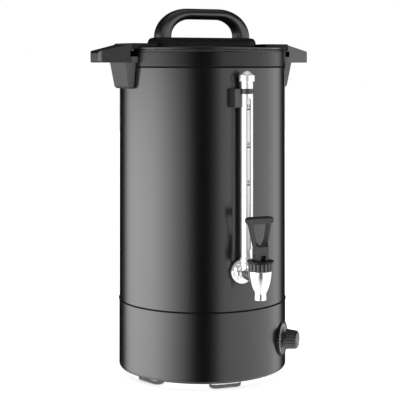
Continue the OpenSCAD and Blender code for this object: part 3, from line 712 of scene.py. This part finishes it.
lid_coat = powder_coat("lid_coat", lid_top_mask)
lid_outline = rounded(
    [
        (raised_r - 0.5, lid_z - lid_t), (lid_r - lid_t, lid_z - lid_t), (lid_r - lid_t, lid_low.z),
        (lid_r, lid_low.z), (lid_r, lid_z), (raised_r + 1, lid_z), (raised_r, lid_high.z),
        (40, lid_high.z), (0, lid_high.z), (0, lid_high.z - lid_t), (raised_r - 1.5, lid_high.z - lid_t),
    ],
    0.4,
)
turned("lid_pan_coated", lid_outline, lid_coat, "black_coated_steel", "lid_pan", body="lid", **broad)
dress(rubber("seal_rubber", 0.03), "lid_seal")
dress(brushed_steel("ring_steel", 0.5, (0.1, 0.1, 1)), "lid_locating_ring")

# ---- Lid lugs ----
# Two phenolic lugs are screwed to the flange. Each reaches over the rim, and its toe drops into the side
# handle's channel and locks under the roof when the lid is turned.
lid_phenolic = moulded("lid_phenolic", grey(0.003), grey(0.0045), 0.5, 0.00005, 0.3)
lug_edge = 0.5
lug_toe_z = 447.5


def above_toe(p):
    """Whether an edge lies above the toe, whose edges stay sharp."""
    return p.z > lug_toe_z


for side in ("left", "right"):
    softened(side + "_lid_lug", side + "_lug_moulding", lug_edge, above_toe, lid_phenolic, "lid")
dress(rod_steel, "lug_screws")

# ---- Lid bridge and arch handle ----
# A long moulded plinth spreads the load over the lid. The arch handle stands on it and is held by a screw
# up each leg. Its bar is nearly round where the hand goes and squarer at the legs.
bridge_low = box_mm("lid_bridge")[0]
arch_low, arch_high = box_mm("lid_handle")
bridge_half = 50.5
bridge_side = [(31, 0), (30.4, 3.6), (29.8, 7.2), (28.9, 9.6), (27.2, 11.6), (25, 12.7), (22.5, 13.1)]
arch_half = arch_high.x
arch_depth = arch_high.y
arch_bar = 15.2
arch_leg = 21.7
arch_flat_out, arch_steep_out = 24.0, 0.84
arch_flat_in, arch_steep_in = 20.0, 0.8


def through(points, steps=5):
    """A smooth curve through an open row of points."""
    rows = [Vector(p) for p in points]
    rows = [2 * rows[0] - rows[1], *rows, 2 * rows[-1] - rows[-2]]
    smooth = []
    for a, b, c, d in zip(rows, rows[1:], rows[2:], rows[3:]):
        for k in range(steps):
            t = k / steps
            smooth.append(tuple(0.5 * (
                2 * b + (c - a) * t + (2 * a - 5 * b + 4 * c - d) * t * t + (3 * b - a - 3 * c + d) * t ** 3
            )))
    return [*smooth, tuple(rows[-2])]


bridge_rings = [
    [(x, y, bridge_low.z + z) for x, y in stadium(2 * (bridge_half + r), 2 * r, steps=20)]
    for r, z in through(bridge_side, 4)
]
bridge = crisp(loft("lid_bridge_moulding", bridge_rings), 50)
fit(bridge, lid_phenolic, "lid", "black_phenolic", "lid_bridge")


def arch_point(half, top, flat, steep, angle):
    """A point on one quarter of the arch's outline: 0 degrees is the foot, and 90 the flat's end."""
    rx = half - flat
    a = math.radians(angle)
    return Vector((flat + rx * math.cos(a), 0, top - steep * rx * (1 - math.sin(a))))


def arch_ring(out, inner, fullness, turns=40):
    """Points round the bar's section, from the arch's outside to its inside. Low fullness is rounder."""
    middle, reach = (out + inner) / 2, (out - inner) / 2
    ring = []
    for i in range(turns):
        c, s = math.cos(math.tau * i / turns), math.sin(math.tau * i / turns)
        across = math.copysign(abs(c) ** (2 / fullness), c)
        deep = math.copysign(abs(s) ** (2 / fullness), s)
        ring.append(tuple(middle + reach * across + Vector((0, arch_depth * deep, 0))))
    return ring


quarter = []
for angle in range(0, 91, 5):
    out = arch_point(arch_half, arch_high.z, arch_flat_out, arch_steep_out, angle)
    inner = arch_point(arch_half - arch_leg, arch_high.z - arch_bar, arch_flat_in, arch_steep_in, angle)
    quarter.append((out, inner, 2.7 - 0.5 * math.sin(math.radians(angle))))
foot_out, foot_in, foot_fullness = quarter[0]
foot_drop = Vector((0, 0, arch_low.z - 0.4))
stations = [(Vector((foot_out.x, 0, foot_drop.z)), Vector((foot_in.x, 0, foot_drop.z)), foot_fullness)]
stations += quarter
for share in (0.5, 0.0, -0.5):
    out, inner, fullness = quarter[-1]
    stations.append((Vector((out.x * share, 0, out.z)), Vector((inner.x * share, 0, inner.z)), fullness))


def mirrored(station):
    out, inner, fullness = station
    return Vector((-out.x, 0, out.z)), Vector((-inner.x, 0, inner.z)), fullness


stations += [mirrored(station) for station in reversed(stations[: len(quarter) + 1])]
arch = crisp(loft("lid_handle_moulding", [arch_ring(*station) for station in stations]), 60)
arch_phenolic = moulded("arch_phenolic", grey(0.0045), grey(0.0065), 0.36, 0.00004, 1.0)
fit(arch, arch_phenolic, "lid", "black_phenolic", "lid_handle")
dress(rod_steel, "lid_handle_screws")

# ---- Tap body ----
# A chromed brass casting: a threaded shank through the tank wall, a socket for the gauge, and the bell that
# holds the valve. A rosette and a rubber gasket close the hole outside, a washer and a hex nut inside.
tap_axis = (0.0, -168.0)
gauge_axis = (0.0, -132.0)
shank_z = 155.1
shank_r = 8.5
shank_bore = 5.5
shank_in, shank_out = 98.0, 157.0
bell_low, bell_high = box_mm("tap_body")
bell_bore = 10.6
seat_z = 142.0
bonnet_z = 164.2


def joined(name, pieces):
    """One object of several meshes."""
    bm = bmesh.new()
    for piece in pieces:
        bm.from_mesh(piece.data)
        bpy.data.objects.remove(piece)
    return linked(name, to_mesh(name, bm))


def chrome(name, clear):
    """Chrome plate with faint wipe marks. clear is how much of it mirrors; the rest is pale diffuse colour, a
    painted reflection.
    """
    made, place, shader = new_finish(name, Metallic=clear)
    wipes = noise(place, 70, 4.0, (1, 1, 0.3))
    feed(
        shader,
        Base_Color=wipes.blend(grey(0.86), grey(0.92)),
        Roughness=0.07 + wipes * 0.06,
        Normal=bump(wipes, 0.00003, 0.15),
    )
    return made


chrome_plate = chrome("chrome_plate", 0.84)
# The second chrome mirrors less and is mostly pale diffuse colour: a painted reflection that keeps small
# plated parts bright.
chrome_painted_pale = chrome("chrome_painted_pale", 0.4)
bell_side = through([
    (8.7, bell_low.z), (9.9, 139.2), (11.4, 142.6), (12.6, 146.2), (13.5, 150), (14.4, 155), (14.9, 159.4),
    (15.1, 162.6), (15.15, bonnet_z - 0.3),
])
bell_outline = [
    *bell_side, (14.9, bonnet_z), (bell_bore, bonnet_z), (bell_bore, seat_z), (6.1, seat_z),
    (6.1, bell_low.z),
]
bell = lathe("bell", bell_outline, tap_axis)

shank_outline = ring_outline(shank_bore, shank_r, shank_in, shank_out, 0.5)
shank = outwards(lathe("shank", shank_outline, segments=96), 0, shank_z)
shank_collar = lathe("shank_collar", ring_outline(8, 10.5, 122.4, 125, 0.7), segments=96)
outwards(shank_collar, 0, shank_z)
gauge_socket = lathe("gauge_socket", ring_outline(4, 7.5, 151, bell_high.z, 0.5), gauge_axis)
tap = crisp(joined("tap_body_chromed", [bell, shank, shank_collar, gauge_socket]), 45)
fit(tap, chrome_plate, "urn", "chrome_plate", "tap_body")

rosette_r = 15.75
rosette_bore = 8.6
rosette_back = 117.5
rosette_front = rosette_back + 5
rosette_outline = [
    (rosette_bore, rosette_back), (rosette_r - 0.3, rosette_back), (rosette_r, rosette_back + 0.3),
    *arc((rosette_r - 3, rosette_back + 1.4), 3, 0, 62),
    (11.2, rosette_front - 0.3), (9.5, rosette_front), (rosette_bore, rosette_front),
]
turned(
    "tap_rosette_chromed", rosette_outline, chrome_painted_pale, "chrome_plate", "tap_rosette",
    aim=(0, shank_z), angle=38,
)
dress(foot_rubber, "tap_gasket", "gauge_seal")
dress(silicone, "tap_inner_washer", "valve_cup")
dress(rod_steel, "tap_back_nut")

# ---- Tap spout ----
# The spout is a short chromed tube that screws up into the bell. It narrows to a waist and ends in a lip,
# and its bore is straight up to the thread.
spout_low, spout_high = box_mm("tap_spout")
spout_bore = 5.0
spout_side = [(8, 128.6), (7.86, 130.6), (7.75, 133.2), (7.95, 135.2), (8.3, 136.4)]
thread_r, thread_bore, thread_z = 6.9, 5.7, 136.5
spout_outline = [
    (spout_bore, spout_low.z), *arc((7.5, spout_low.z + 0.5), 0.5, -90, 0, 4), *through(spout_side, 3),
    (8.3, bell_low.z), (thread_r, bell_low.z), (thread_r, spout_high.z), (thread_bore, spout_high.z),
    (thread_bore, thread_z), (spout_bore, thread_z),
]
turned("tap_spout_chromed", spout_outline, chrome_plate, "chrome_plate", "tap_spout", centre=tap_axis)

# ---- Tap bonnet ----
# A black moulded cap screws into the bell over the valve's spring. Ribs round it give the fingers a hold,
# and the lever's heel bears on its flange.
bonnet_low, bonnet_high = box_mm("tap_bonnet")
bonnet_r = 14.7
rib_top = 174.2
flange_r = bonnet_high.x
flange_z = bonnet_high.z - 1.9
stem_hole = 3.2
spring_room, spring_top = 8.0, 173.5
bonnet_thread = 10.4
rib_count = 18
bonnet_outline = rounded(
    [
        (stem_hole, bonnet_high.z), (stem_hole, spring_top), (spring_room, spring_top),
        (spring_room, bonnet_low.z), (bonnet_thread, bonnet_low.z), (bonnet_thread, bonnet_z),
        (bonnet_r, bonnet_z), (bonnet_r, flange_z), (flange_r, flange_z), (flange_r, bonnet_high.z),
    ],
    0.35,
)
turned(
    "tap_bonnet_moulding", bonnet_outline, lid_phenolic, "black_phenolic", "tap_bonnet", centre=tap_axis
)
# The ribs are part of the black cap but are given a far lighter grey: a painted highlight on them.
rib_painted_highlight = moulded("rib_painted_highlight", grey(0.06), grey(0.08), 0.42, 0.00003, 0.7)


def upright_rib(name, length, width, low, high, edge, steps):
    """One rib with round sides, its foot's edge rounded to edge."""

    def outline(inset):
        return stadium(length - 2 * inset, width - 2 * inset, steps=steps)

    return loft(name, slab_rings(outline, low, high, edge, 0.5))


rib = upright_rib("tap_bonnet_ribs", 3.1, 1.7, bonnet_z, rib_top, 0.3, 6)
moved(rib, y=bonnet_r - 0.05)
ribs = repeated(rib, rib_painted_highlight, (rib_count, 0, 360 / rib_count))
fit(crisp(moved(ribs, *tap_axis), 45), None, "urn", "black_phenolic")

# ---- Valve and lever ----
# A steel stem lifts a silicone cup off its seat against a coil spring. The lever is a forked moulding on
# the stem's pin, with a loop for one finger and a cross bar for two. The bar's top is painted dull black,
# painted shade for the dark line along it.
dark_steel = brushed_steel("dark_steel", 0.05, (1, 1, 0.05))
dress(dark_steel, "valve_stem", "lever_pin")


def valve_coil(wire_r=0.6, turns=6, steps=144, sides=10):
    """The valve's spring: a coil of wire between the stem's collar and the bonnet."""
    low, high = box_mm("valve_spring")
    coil_r = high.x - wire_r
    length = high.z - low.z - 2 * wire_r
    corners = [math.tau * k / sides for k in range(sides)]
    rings = []
    for i in range(steps + 1):
        a = math.tau * turns * i / steps
        out = Vector((math.cos(a), math.sin(a), 0))
        along = Vector((-coil_r * math.sin(a), coil_r * math.cos(a), length / (math.tau * turns)))
        side = along.normalized().cross(out)
        middle = out * coil_r + Vector((*tap_axis, low.z + wire_r + length * i / steps))
        rings.append([tuple(middle + wire_r * (math.cos(t) * out + math.sin(t) * side)) for t in corners])
    return loft("valve_spring_coil", rings)


coil = crisp(valve_coil(), 50)
fit(coil, rod_steel, "valve", "bare_steel", "valve_spring")
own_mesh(coil)
lever_edge = 1.1
lever_pin_z = 184.0
# The top of the lever's bar is painted near black and dull: painted shade for the line along its top.
shaded_top_h = 2.4
shaded_top_z = box_mm("tap_lever")[1].z - shaded_top_h
lever_plastic = moulded("lever_plastic", grey(0.012), grey(0.016), 0.4, 0.00003, 0.55, shaded_top_z)


def outside_fork(p):
    """Whether an edge lies outside the fork's slot and the pin's hole, whose edges stay sharp."""
    inside = abs(p.x) < 4 and p.z < 191.5
    return not inside and abs(p.z - lever_pin_z) > 2.4 or abs(p.x) > 9


softened("tap_lever", "tap_lever_moulding", lever_edge, outside_fork, lever_plastic, "lever")

# ---- Sight gauge ----
# A glass tube stands in a union nut on the tap and is shielded by a chromed tube with a long slot. A strip
# of white enamel between the two carries the black litre marks, and two thin black lines along the slot's
# edges are painted shade.
nut_low, nut_high = box_mm("gauge_nut")
shield_low, shield_high = box_mm("gauge_shield")
clamp_low, clamp_high = box_mm("gauge_clamp_ring")
cap_low, cap_high = box_mm("gauge_cap")
slot_azimuth = -9.0
slot_w = 5.6
slot_low = 186.0
slot_high = 382.0
slot_middle = (slot_low + slot_high) / 2
glass_r = 5.5
shield_r, shield_bore = 8.0, 7.2
nut_r, nut_neck, nut_hole, nut_bore = 9.4, 8.9, 5.6, 7.6
nut_grooves = ((nut_r, 3), (nut_neck, 3.5), (nut_neck, 4.1), (nut_r, 4.6))

nut_outline = rounded(
    [
        (nut_hole, nut_low.z + 6.1), (nut_bore, nut_low.z + 6.1), (nut_bore, nut_low.z), (nut_r, nut_low.z),
        *[(r, nut_low.z + up) for r, up in nut_grooves], (nut_r, nut_high.z), (nut_hole, nut_high.z),
    ],
    0.5,
)
turned("gauge_nut_chromed", nut_outline, chrome_painted_pale, "chrome_plate", "gauge_nut", centre=gauge_axis)


def carved(piece, cutter):
    """Cuts one closed mesh out of another."""
    modifier = piece.modifiers.new("cut", "BOOLEAN")
    modifier.operation = "DIFFERENCE"
    modifier.solver = "EXACT"
    modifier.object = cutter
    baked(piece)
    bpy.data.objects.remove(cutter)
    return piece


shield_outline = ring_outline(shield_bore, shield_r, shield_low.z, shield_high.z, 0.25)
shield = lathe("gauge_shield_chromed", shield_outline)
slot_l = slot_high - slot_low
slot_rings = [[(y, -depth, x) for x, y in stadium(slot_l, slot_w, steps=16)] for depth in (0, 12)]
carved(shield, moved(loft("slot", slot_rings), z=slot_middle))
moved(shield, *gauge_axis, turn=slot_azimuth)
fit(crisp(shield, 45), chrome_painted_pale, "urn", "chrome_plate", "gauge_shield")


def clear_glass():
    """Clear gauge glass: mostly seen through, with its own bright reflections."""
    made, place, shader = new_finish("clear_glass", IOR=1.5, Coat_Weight=1.0, Coat_Roughness=0.02)
    film = noise(place, 160, 4.0)
    feed(
        shader,
        Base_Color=film.blend((0.8, 0.86, 0.88, 1), (0.88, 0.93, 0.94, 1)),
        Roughness=0.03 + film * 0.05,
        Alpha=0.16 + film * 0.08,
    )
    return made


def enamel(name, tone, chip):
    """Fired enamel or print: an even colour that thins a little in places."""
    made, place, shader = new_finish(name)
    wear = noise(place, 700, 4.0)
    feed(shader, Base_Color=wear.ease(0.45, 0.9).blend(tone, chip), Roughness=0.3 + wear * 0.15)
    return made


white_enamel = enamel("white_enamel", grey(0.95), grey(0.9))
black_enamel = enamel("black_enamel", grey(0.02), grey(0.06))
dress(clear_glass(), "gauge_glass")

ground_r = glass_r + 0.9
ground_t = 0.1
ground_sweep = (slot_azimuth - 162, slot_azimuth - 18)
ground_past = 6
ground_ring = arc(gauge_axis, ground_r, *ground_sweep, 24)
ground_ring += reversed(arc(gauge_axis, ground_r + ground_t, *ground_sweep, 24))
ground_ends = (slot_low - ground_past, slot_high + ground_past)
ground = loft("gauge_white_ground", [[(x, y, z) for x, y in ground_ring] for z in ground_ends])
fit(crisp(ground), white_enamel, "urn", "pale_plastic")

mark_zs = {"10": 367.5, "8": 318.7, "6": 270.1, "4": 221.5}
mark_r = ground_r + 0.16
mark_h = 1.7
mark_w = 5.0
numeral_h = {1: 4.4, 2: 3.8}
numeral_up = 4.2
slot_edge_shade_w = 0.4


def lettering(text, height, depth=0.04, bold=0.0):
    """Plain upright characters as a thin mesh in millimetres, centred on the origin and facing +Z."""
    curve = bpy.data.curves.new("numeral", "FONT")
    curve.body = text
    curve.align_x = "CENTER"
    curve.align_y = "CENTER"
    curve.size = height / 0.72
    curve.extrude = depth / 2
    curve.offset = bold
    curve.resolution_u = 4
    holder = linked("numeral", curve)
    mesh = seen_mesh(holder)
    bpy.data.objects.remove(holder)
    return mesh


def wrapped(mesh, height):
    """Bends a flat mark, in millimetres, round the front of the gauge glass at that height."""
    for v in mesh.vertices:
        a = math.radians(slot_azimuth) + v.co.x / mark_r
        r = mark_r + v.co.z
        v.co = Vector((r * math.sin(a), gauge_axis[1] - r * math.cos(a), height + v.co.y))
    return mesh


def bar(width, height, depth=0.05, steps=8):
    """A thin upright bar in short lengths, so that it can be bent."""
    bm = bmesh.new()
    bmesh.ops.create_cube(bm, size=1.0)
    bmesh.ops.scale(bm, vec=(width, height, depth), verts=bm.verts)
    upright = [e for e in bm.edges if abs(e.verts[0].co.x - e.verts[1].co.x) > width / 2]
    bmesh.ops.subdivide_edges(bm, edges=upright, cuts=steps)
    return to_mesh("bar", bm)


marks = bmesh.new()
for text, height in mark_zs.items():
    marks.from_mesh(wrapped(bar(mark_w, mark_h), height))
    numeral = lettering(text, numeral_h[len(text)], bold=0.16)
    marks.from_mesh(wrapped(numeral, height + numeral_up))
# Two black lines along the slot's edges are painted shade, not print.
for side in (-1, 1):
    slot_edge_shade = bar(slot_edge_shade_w, slot_l, 0.05, 1)
    slot_edge_shade.transform(Matrix.Translation((side * (slot_w / 2 - 0.45), 0, 0)))
    marks.from_mesh(wrapped(slot_edge_shade, slot_middle))
print_and_edge_shade = new_object("gauge_print_and_edge_shade", marks)
fit(print_and_edge_shade, black_enamel, "urn", "gauge_glass")

glass_hole = 5.7
clamp_r, clamp_neck = 8.5, 8.1
clamp_outline = rounded(
    [
        (glass_hole, clamp_low.z), (clamp_r, clamp_low.z), (clamp_r, clamp_low.z + 2.6),
        (clamp_neck, clamp_low.z + 3), (clamp_neck, clamp_low.z + 3.5), (clamp_r, clamp_low.z + 3.9),
        (clamp_r, clamp_high.z), (glass_hole, clamp_high.z),
    ],
    0.4,
)
turned(
    "gauge_clamp_moulding", clamp_outline, arch_phenolic, "black_phenolic", "gauge_clamp_ring",
    centre=gauge_axis,
)
dome_r = 6.4
cap_ring_low, cap_ring_high = 404.1, 411.0
cap_outline = [
    (glass_hole, cap_low.z), (7.6, cap_low.z), (8, cap_low.z + 0.4), (8, 402.4), (8.2, 402.8), (9.6, 403.4),
    *arc((9.5, cap_ring_low), 0.65, -60, 0, 4), *arc((9.3, cap_ring_high), 0.85, 0, 70, 5),
    (8.6, 412.3), (7.0, 413.2), *arc((0, cap_high.z - dome_r), dome_r, 34, 90, 12),
    (0, 402), (glass_hole, 402),
]
turned("gauge_cap_chromed", cap_outline, chrome_painted_pale, "chrome_plate", "gauge_cap", centre=gauge_axis)
bracket_edge = 0.8
bracket_back = -118.0
softened(
    "gauge_bracket", "gauge_bracket_moulding", bracket_edge, lambda p: p.y < bracket_back, phenolic
)
dress(rod_steel, "gauge_bracket_screw")

# ---- Thermostat and its dial ----
# The thermostat's box sits inside the skirt. Its copper bulb is clamped under the tank's floor. Outside, a
# black bezel holds a grey printed plate with plain white numbers.
dress(cream_plastic, "thermostat")
dress(copper, "capillary", "sensor_bulb")
dial_aim = (45.0, 52.0)
bezel_r = 23.75
bezel_back = skirt_r - 3.5
bezel_front = skirt_r + 1.2
plate_r = 20.75
plate_front = skirt_r + 1
plate_back = plate_front - 0.5
bezel_outline = rounded(
    [
        (plate_r - 1, bezel_back), (bezel_r, bezel_back), (bezel_r, bezel_front),
        (plate_r, bezel_front), (plate_r, plate_back), (plate_r - 1, plate_back),
    ],
    0.4,
)
turned("dial_bezel_moulding", bezel_outline, lid_phenolic, "black_phenolic", "dial_bezel", aim=dial_aim)


def dial_paint():
    """Satin grey paint with a fine turned grain round its middle."""
    made, place, shader = new_finish("dial_grey", Metallic=0.35)
    grain = noise(place, 1100, 3.0)
    feed(
        shader,
        Base_Color=grain.blend(grey(0.2), grey(0.3)),
        Roughness=0.36 + grain * 0.1,
        Normal=bump(grain, 0.00003, 0.3),
    )
    return made


dial_grey = dial_paint()
plate_outline = ring_outline(5, plate_r - 0.1, plate_back, plate_front, 0.1)
turned("dial_plate_painted", plate_outline, dial_grey, "grey_dial", "dial_plate", aim=dial_aim, angle=38)

tick_in = 15.8
tick_out = 20.2
tick_w = 0.9
number_r = 13.9
number_h = 2.1
print_t = 0.1
dial_sweep = 270.0
dial_numbers = ("0", "20", "40", "60", "80", "100")
ticks_between = 4
tick_count = ticks_between * (len(dial_numbers) - 1) + 1
tick_step = dial_sweep / (tick_count - 1)
tick_bm = bmesh.new()
bmesh.ops.create_cube(tick_bm, size=1.0)
bmesh.ops.scale(tick_bm, vec=(tick_out - tick_in, tick_w, print_t), verts=tick_bm.verts)
bmesh.ops.translate(tick_bm, vec=((tick_in + tick_out) / 2, 0, plate_front), verts=tick_bm.verts)
tick = new_object("dial_tick", tick_bm)
ticks = repeated(tick, white_enamel, (tick_count, 90 - dial_sweep / 2, tick_step))
numbers = bmesh.new()
for i, text in enumerate(dial_numbers):
    a = math.radians(90 + dial_sweep / 2 - ticks_between * tick_step * i)
    mesh = lettering(text, number_h, print_t)
    mesh.transform(Matrix.Translation((number_r * math.cos(a), number_r * math.sin(a), plate_front)))
    numbers.from_mesh(mesh)
dial_print = joined("dial_print_white", [ticks, new_object("dial_numbers", numbers)])
fit(outwards(dial_print, *dial_aim), white_enamel, "urn", "grey_dial")

# ---- Knob ----
# A moulded knob with shallow flutes is pushed on the thermostat's spindle. A satin grey disc is let into
# its face, with a white line that rests at the dial's highest number and turns back to its lowest.
knob_r = 13.5
knob_back = skirt_r + 6
knob_tip = skirt_r + 21.4
flutes = 18
flute_depth = 0.8


def knob_ring(r, depth, height, steps=8):
    """Points round the knob's fluted side at one height. depth is how deep the flutes are cut."""
    ring = []
    for i in range(flutes * steps):
        dip = 0.5 - 0.5 * math.cos(math.tau * i / steps)
        a = math.tau * i / (flutes * steps)
        reach = r - depth * dip ** 3
        ring.append((reach * math.cos(a), reach * math.sin(a), height))
    return ring


skirt_levels = ((0.4, 0, 0), (0, 0, 0.4), (0, 0, 2.2), (0.3, 0, 2.6), (0.4, flute_depth, 3.4))
face_levels = (
    (1.1, flute_depth, 4), (1.3, 0.75, 2.4), (1.5, 0.6, 1.7), (2.1, 0.3, 0.9), (2.8, 0.1, 0.2),
    (3.2, 0, 0), (3.5, 0, 0), (3.6, 0, 0.5),
)
knob_levels = [(knob_r - inset, depth, knob_back + up) for inset, depth, up in skirt_levels]
knob_levels += [(knob_r - inset, depth, knob_tip - down) for inset, depth, down in face_levels]
knob = loft("knob_moulding", [knob_ring(*level) for level in knob_levels])
crisp(outwards(knob, *dial_aim), 50)
knob_plastic = moulded("knob_plastic", grey(0.012), grey(0.018), 0.36, 0.00003, 0.7)
fit(knob, knob_plastic, "knob", "black_phenolic", "knob")
inlay_r = knob_r - 3.7
inlay_outline = ring_outline(0, inlay_r, knob_tip - 0.7, knob_tip - 0.15, 0.15)
turned("knob_inlay", inlay_outline, dial_grey, "grey_dial", aim=dial_aim, angle=38, body="knob")
pointer_w = 1.2
pointer_mesh = bar(pointer_w, inlay_r * 0.9, print_t, 1)
pointer_mesh.transform(Matrix.Translation((0, inlay_r * 0.5, knob_tip - 0.14)))
pointer_mesh.transform(Matrix.Rotation(math.radians(-dial_sweep / 2), 4, "Z"))
pointer_mesh.transform(Matrix.Diagonal((0.001, 0.001, 0.001, 1)))
pointer = outwards(linked("knob_pointer", pointer_mesh), *dial_aim)
fit(pointer, white_enamel, "knob", "grey_dial")
dress(rod_steel, "knob_spindle")
neck_outline = ring_outline(5.1, 9, plate_front, knob_back - 0.3, 0.4)
turned("dial_neck_collar", neck_outline, phenolic, "black_phenolic", aim=dial_aim)

# ---- Cord gland ----
# A black nylon gland is clamped through the back of the skirt. Its ribbed cap tightens on the flex that
# enters the bore.
gland_end = box_mm("cord_gland")[1].y
gland_in, gland_nut, gland_cap = 98.0, 108.0, 120.0
gland_bore = 4.3
gland_aim = (180.0, 34.0)
gland_thread_r, gland_nut_r, gland_cap_r, gland_nose_r = 7.9, 12, 10, 7.5
gland_rib_count = 16
gland_rib_lean = -9.0
gland_rib_shift = (28.1, 0, 1.5)
gland_outline = rounded(
    [
        (gland_bore, gland_in), (gland_thread_r, gland_in), (gland_thread_r, gland_nut),
        (gland_nut_r, gland_nut), (gland_nut_r, gland_cap - 1), (gland_cap_r, gland_cap - 1),
        (gland_cap_r, gland_cap), (gland_nose_r, gland_end), (gland_bore, gland_end),
    ],
    0.6,
)
gland_body = lathe("gland_body", gland_outline, segments=96)
gland_rib = upright_rib("gland_rib", 2.2, 1.1, gland_cap, gland_end - 1.4, 0.2, 5)
moved(gland_rib, *gland_rib_shift, turn=gland_rib_lean, about="Y")
gland_ribs = repeated(gland_rib, phenolic, (gland_rib_count, 0, 360 / gland_rib_count))
gland = crisp(outwards(joined("cord_gland_nylon", [gland_body, gland_ribs]), *gland_aim), 45)
nylon = moulded("black_nylon", grey(0.012), grey(0.018), 0.42, 0.00003)
fit(gland, nylon, "urn", "black_rubber", "cord_gland")

# ---- Floor and studio light ----
# A pale floor runs into a white backdrop in an evenly lit room. For the gloss, banks of soft light stand left
# and right, a weaker strip hangs above the camera, and the rest is black but for a pale floor and ceiling.
floor_r = 6.0
floor_bm = bmesh.new()
bmesh.ops.create_circle(floor_bm, cap_ends=True, segments=96, radius=floor_r * 1000)
floor = new_object("floor", floor_bm)
floor.visible_glossy = False


def ray_is(start, *kinds):
    """1 for rays of any of these kinds, else 0."""
    first, *others = [start.node("ShaderNodeLightPath", out=f"Is {kind} Ray") for kind in kinds]
    for other in others:
        first = first.math("MAXIMUM", other)
    return first


def floor_finish():
    """White board that keeps the urn's shadow: part of its white is its own where it is looked at."""
    made = bpy.data.materials.new("floor_white")
    made.use_nodes = True
    tree = made.node_tree
    tree.nodes.remove(tree.nodes["Principled BSDF"])
    start = Wire(tree)
    seen = ray_is(start, "Camera", "Transmission", "Glossy")
    paint = start.node("ShaderNodeBsdfDiffuse", None, {"Color": grey(0.8)})
    glow = start.node("ShaderNodeEmission", None, {"Color": grey(1.0), "Strength": seen * 0.62})
    both = start.node("ShaderNodeAddShader", None, {0: paint, 1: glow})
    tree.links.new(both.socket, tree.nodes["Material Output"].inputs["Surface"])
    return made


floor.data.materials.append(floor_finish())

world = bpy.data.worlds.new("studio")
world.use_nodes = True
bpy.context.scene.world = world
studio = Wire(world.node_tree)
towards = studio.node("ShaderNodeTexCoord", out="Generated")
rightwards = (away.y, -away.x, 0)


def facing(direction):
    """How far a ray points in a direction: 1 along it, 0 across it."""
    dot = {"operation": "DOT_PRODUCT"}
    return towards.node("ShaderNodeVectorMath", dot, {0: towards, 1: direction}, out="Value")


def bank(strength, levels, low_edge, high_edge, low_share=0.0):
    """A soft light: its levels by bearing in degrees, 0 towards the camera, between two soft edges in height.

    low_share is what is left of it below its lower edge.
    """
    stops = [(bearing / 360 + 0.5, grey(level)) for bearing, level in levels]
    share = bearings * (1 / math.tau) + 0.5
    across = share.node("ShaderNodeValToRGB", {"stops": stops}, {"Fac": share})
    low = upward.ease(*low_edge) * (1 - low_share) + low_share
    return across * low * (1 - upward.ease(*high_edge)) * strength


bearings = facing(rightwards).math("ARCTAN2", facing(away) * -1.0)
upward = facing((0, 0, 1))
left_bank = bank(
    5.9,
    [
        (-138, 0), (-131, 0.1), (-121, 0.38), (-101, 0.74), (-85, 0.93), (-71, 1), (-58, 0.87), (-45, 0.64),
        (-33, 0.42), (-22, 0.24), (-14, 0.08), (-6, 0),
    ],
    low_edge=(-0.55, -0.1), high_edge=(-0.045, 0.085), low_share=0.4,
)
right_bank = bank(
    2.1,
    [
        (9, 0), (17, 0.18), (28, 0.78), (34, 0.84), (55, 0.93), (78, 1), (101, 0.89), (121, 0.88), (133, 0.4),
        (140, 0),
    ],
    low_edge=(-0.55, -0.1), high_edge=(0.02, 0.3), low_share=0.6,
)
front_levels = [(-30, 0), (-14, 1), (14, 1), (30, 0)]
front_bank = bank(1.7, front_levels, low_edge=(0.18, 0.3), high_edge=(0.4, 0.55))
below = (1 - upward.ease(-0.65, -0.35)) * 0.9
above = upward.ease(0.75, 0.97) * 0.5
backdrop = facing(away).ease(0.955, 0.985) * (1 - upward.ease(0.0, 0.08))
glossy = ray_is(studio, "Glossy")
white = ray_is(studio, "Camera", "Transmission").math("MAXIMUM", glossy * backdrop)
room_level = 0.95
lit = glossy * (left_bank + right_bank + front_bank + below + above) + (1 - glossy) * room_level
strength = lit * (1 - white) + white
background = world.node_tree.nodes["Background"]
world.node_tree.links.new(strength.socket, background.inputs["Strength"])
background.inputs["Color"].default_value = grey(1.0)
bpy.context.scene.view_settings.view_transform = "Standard"
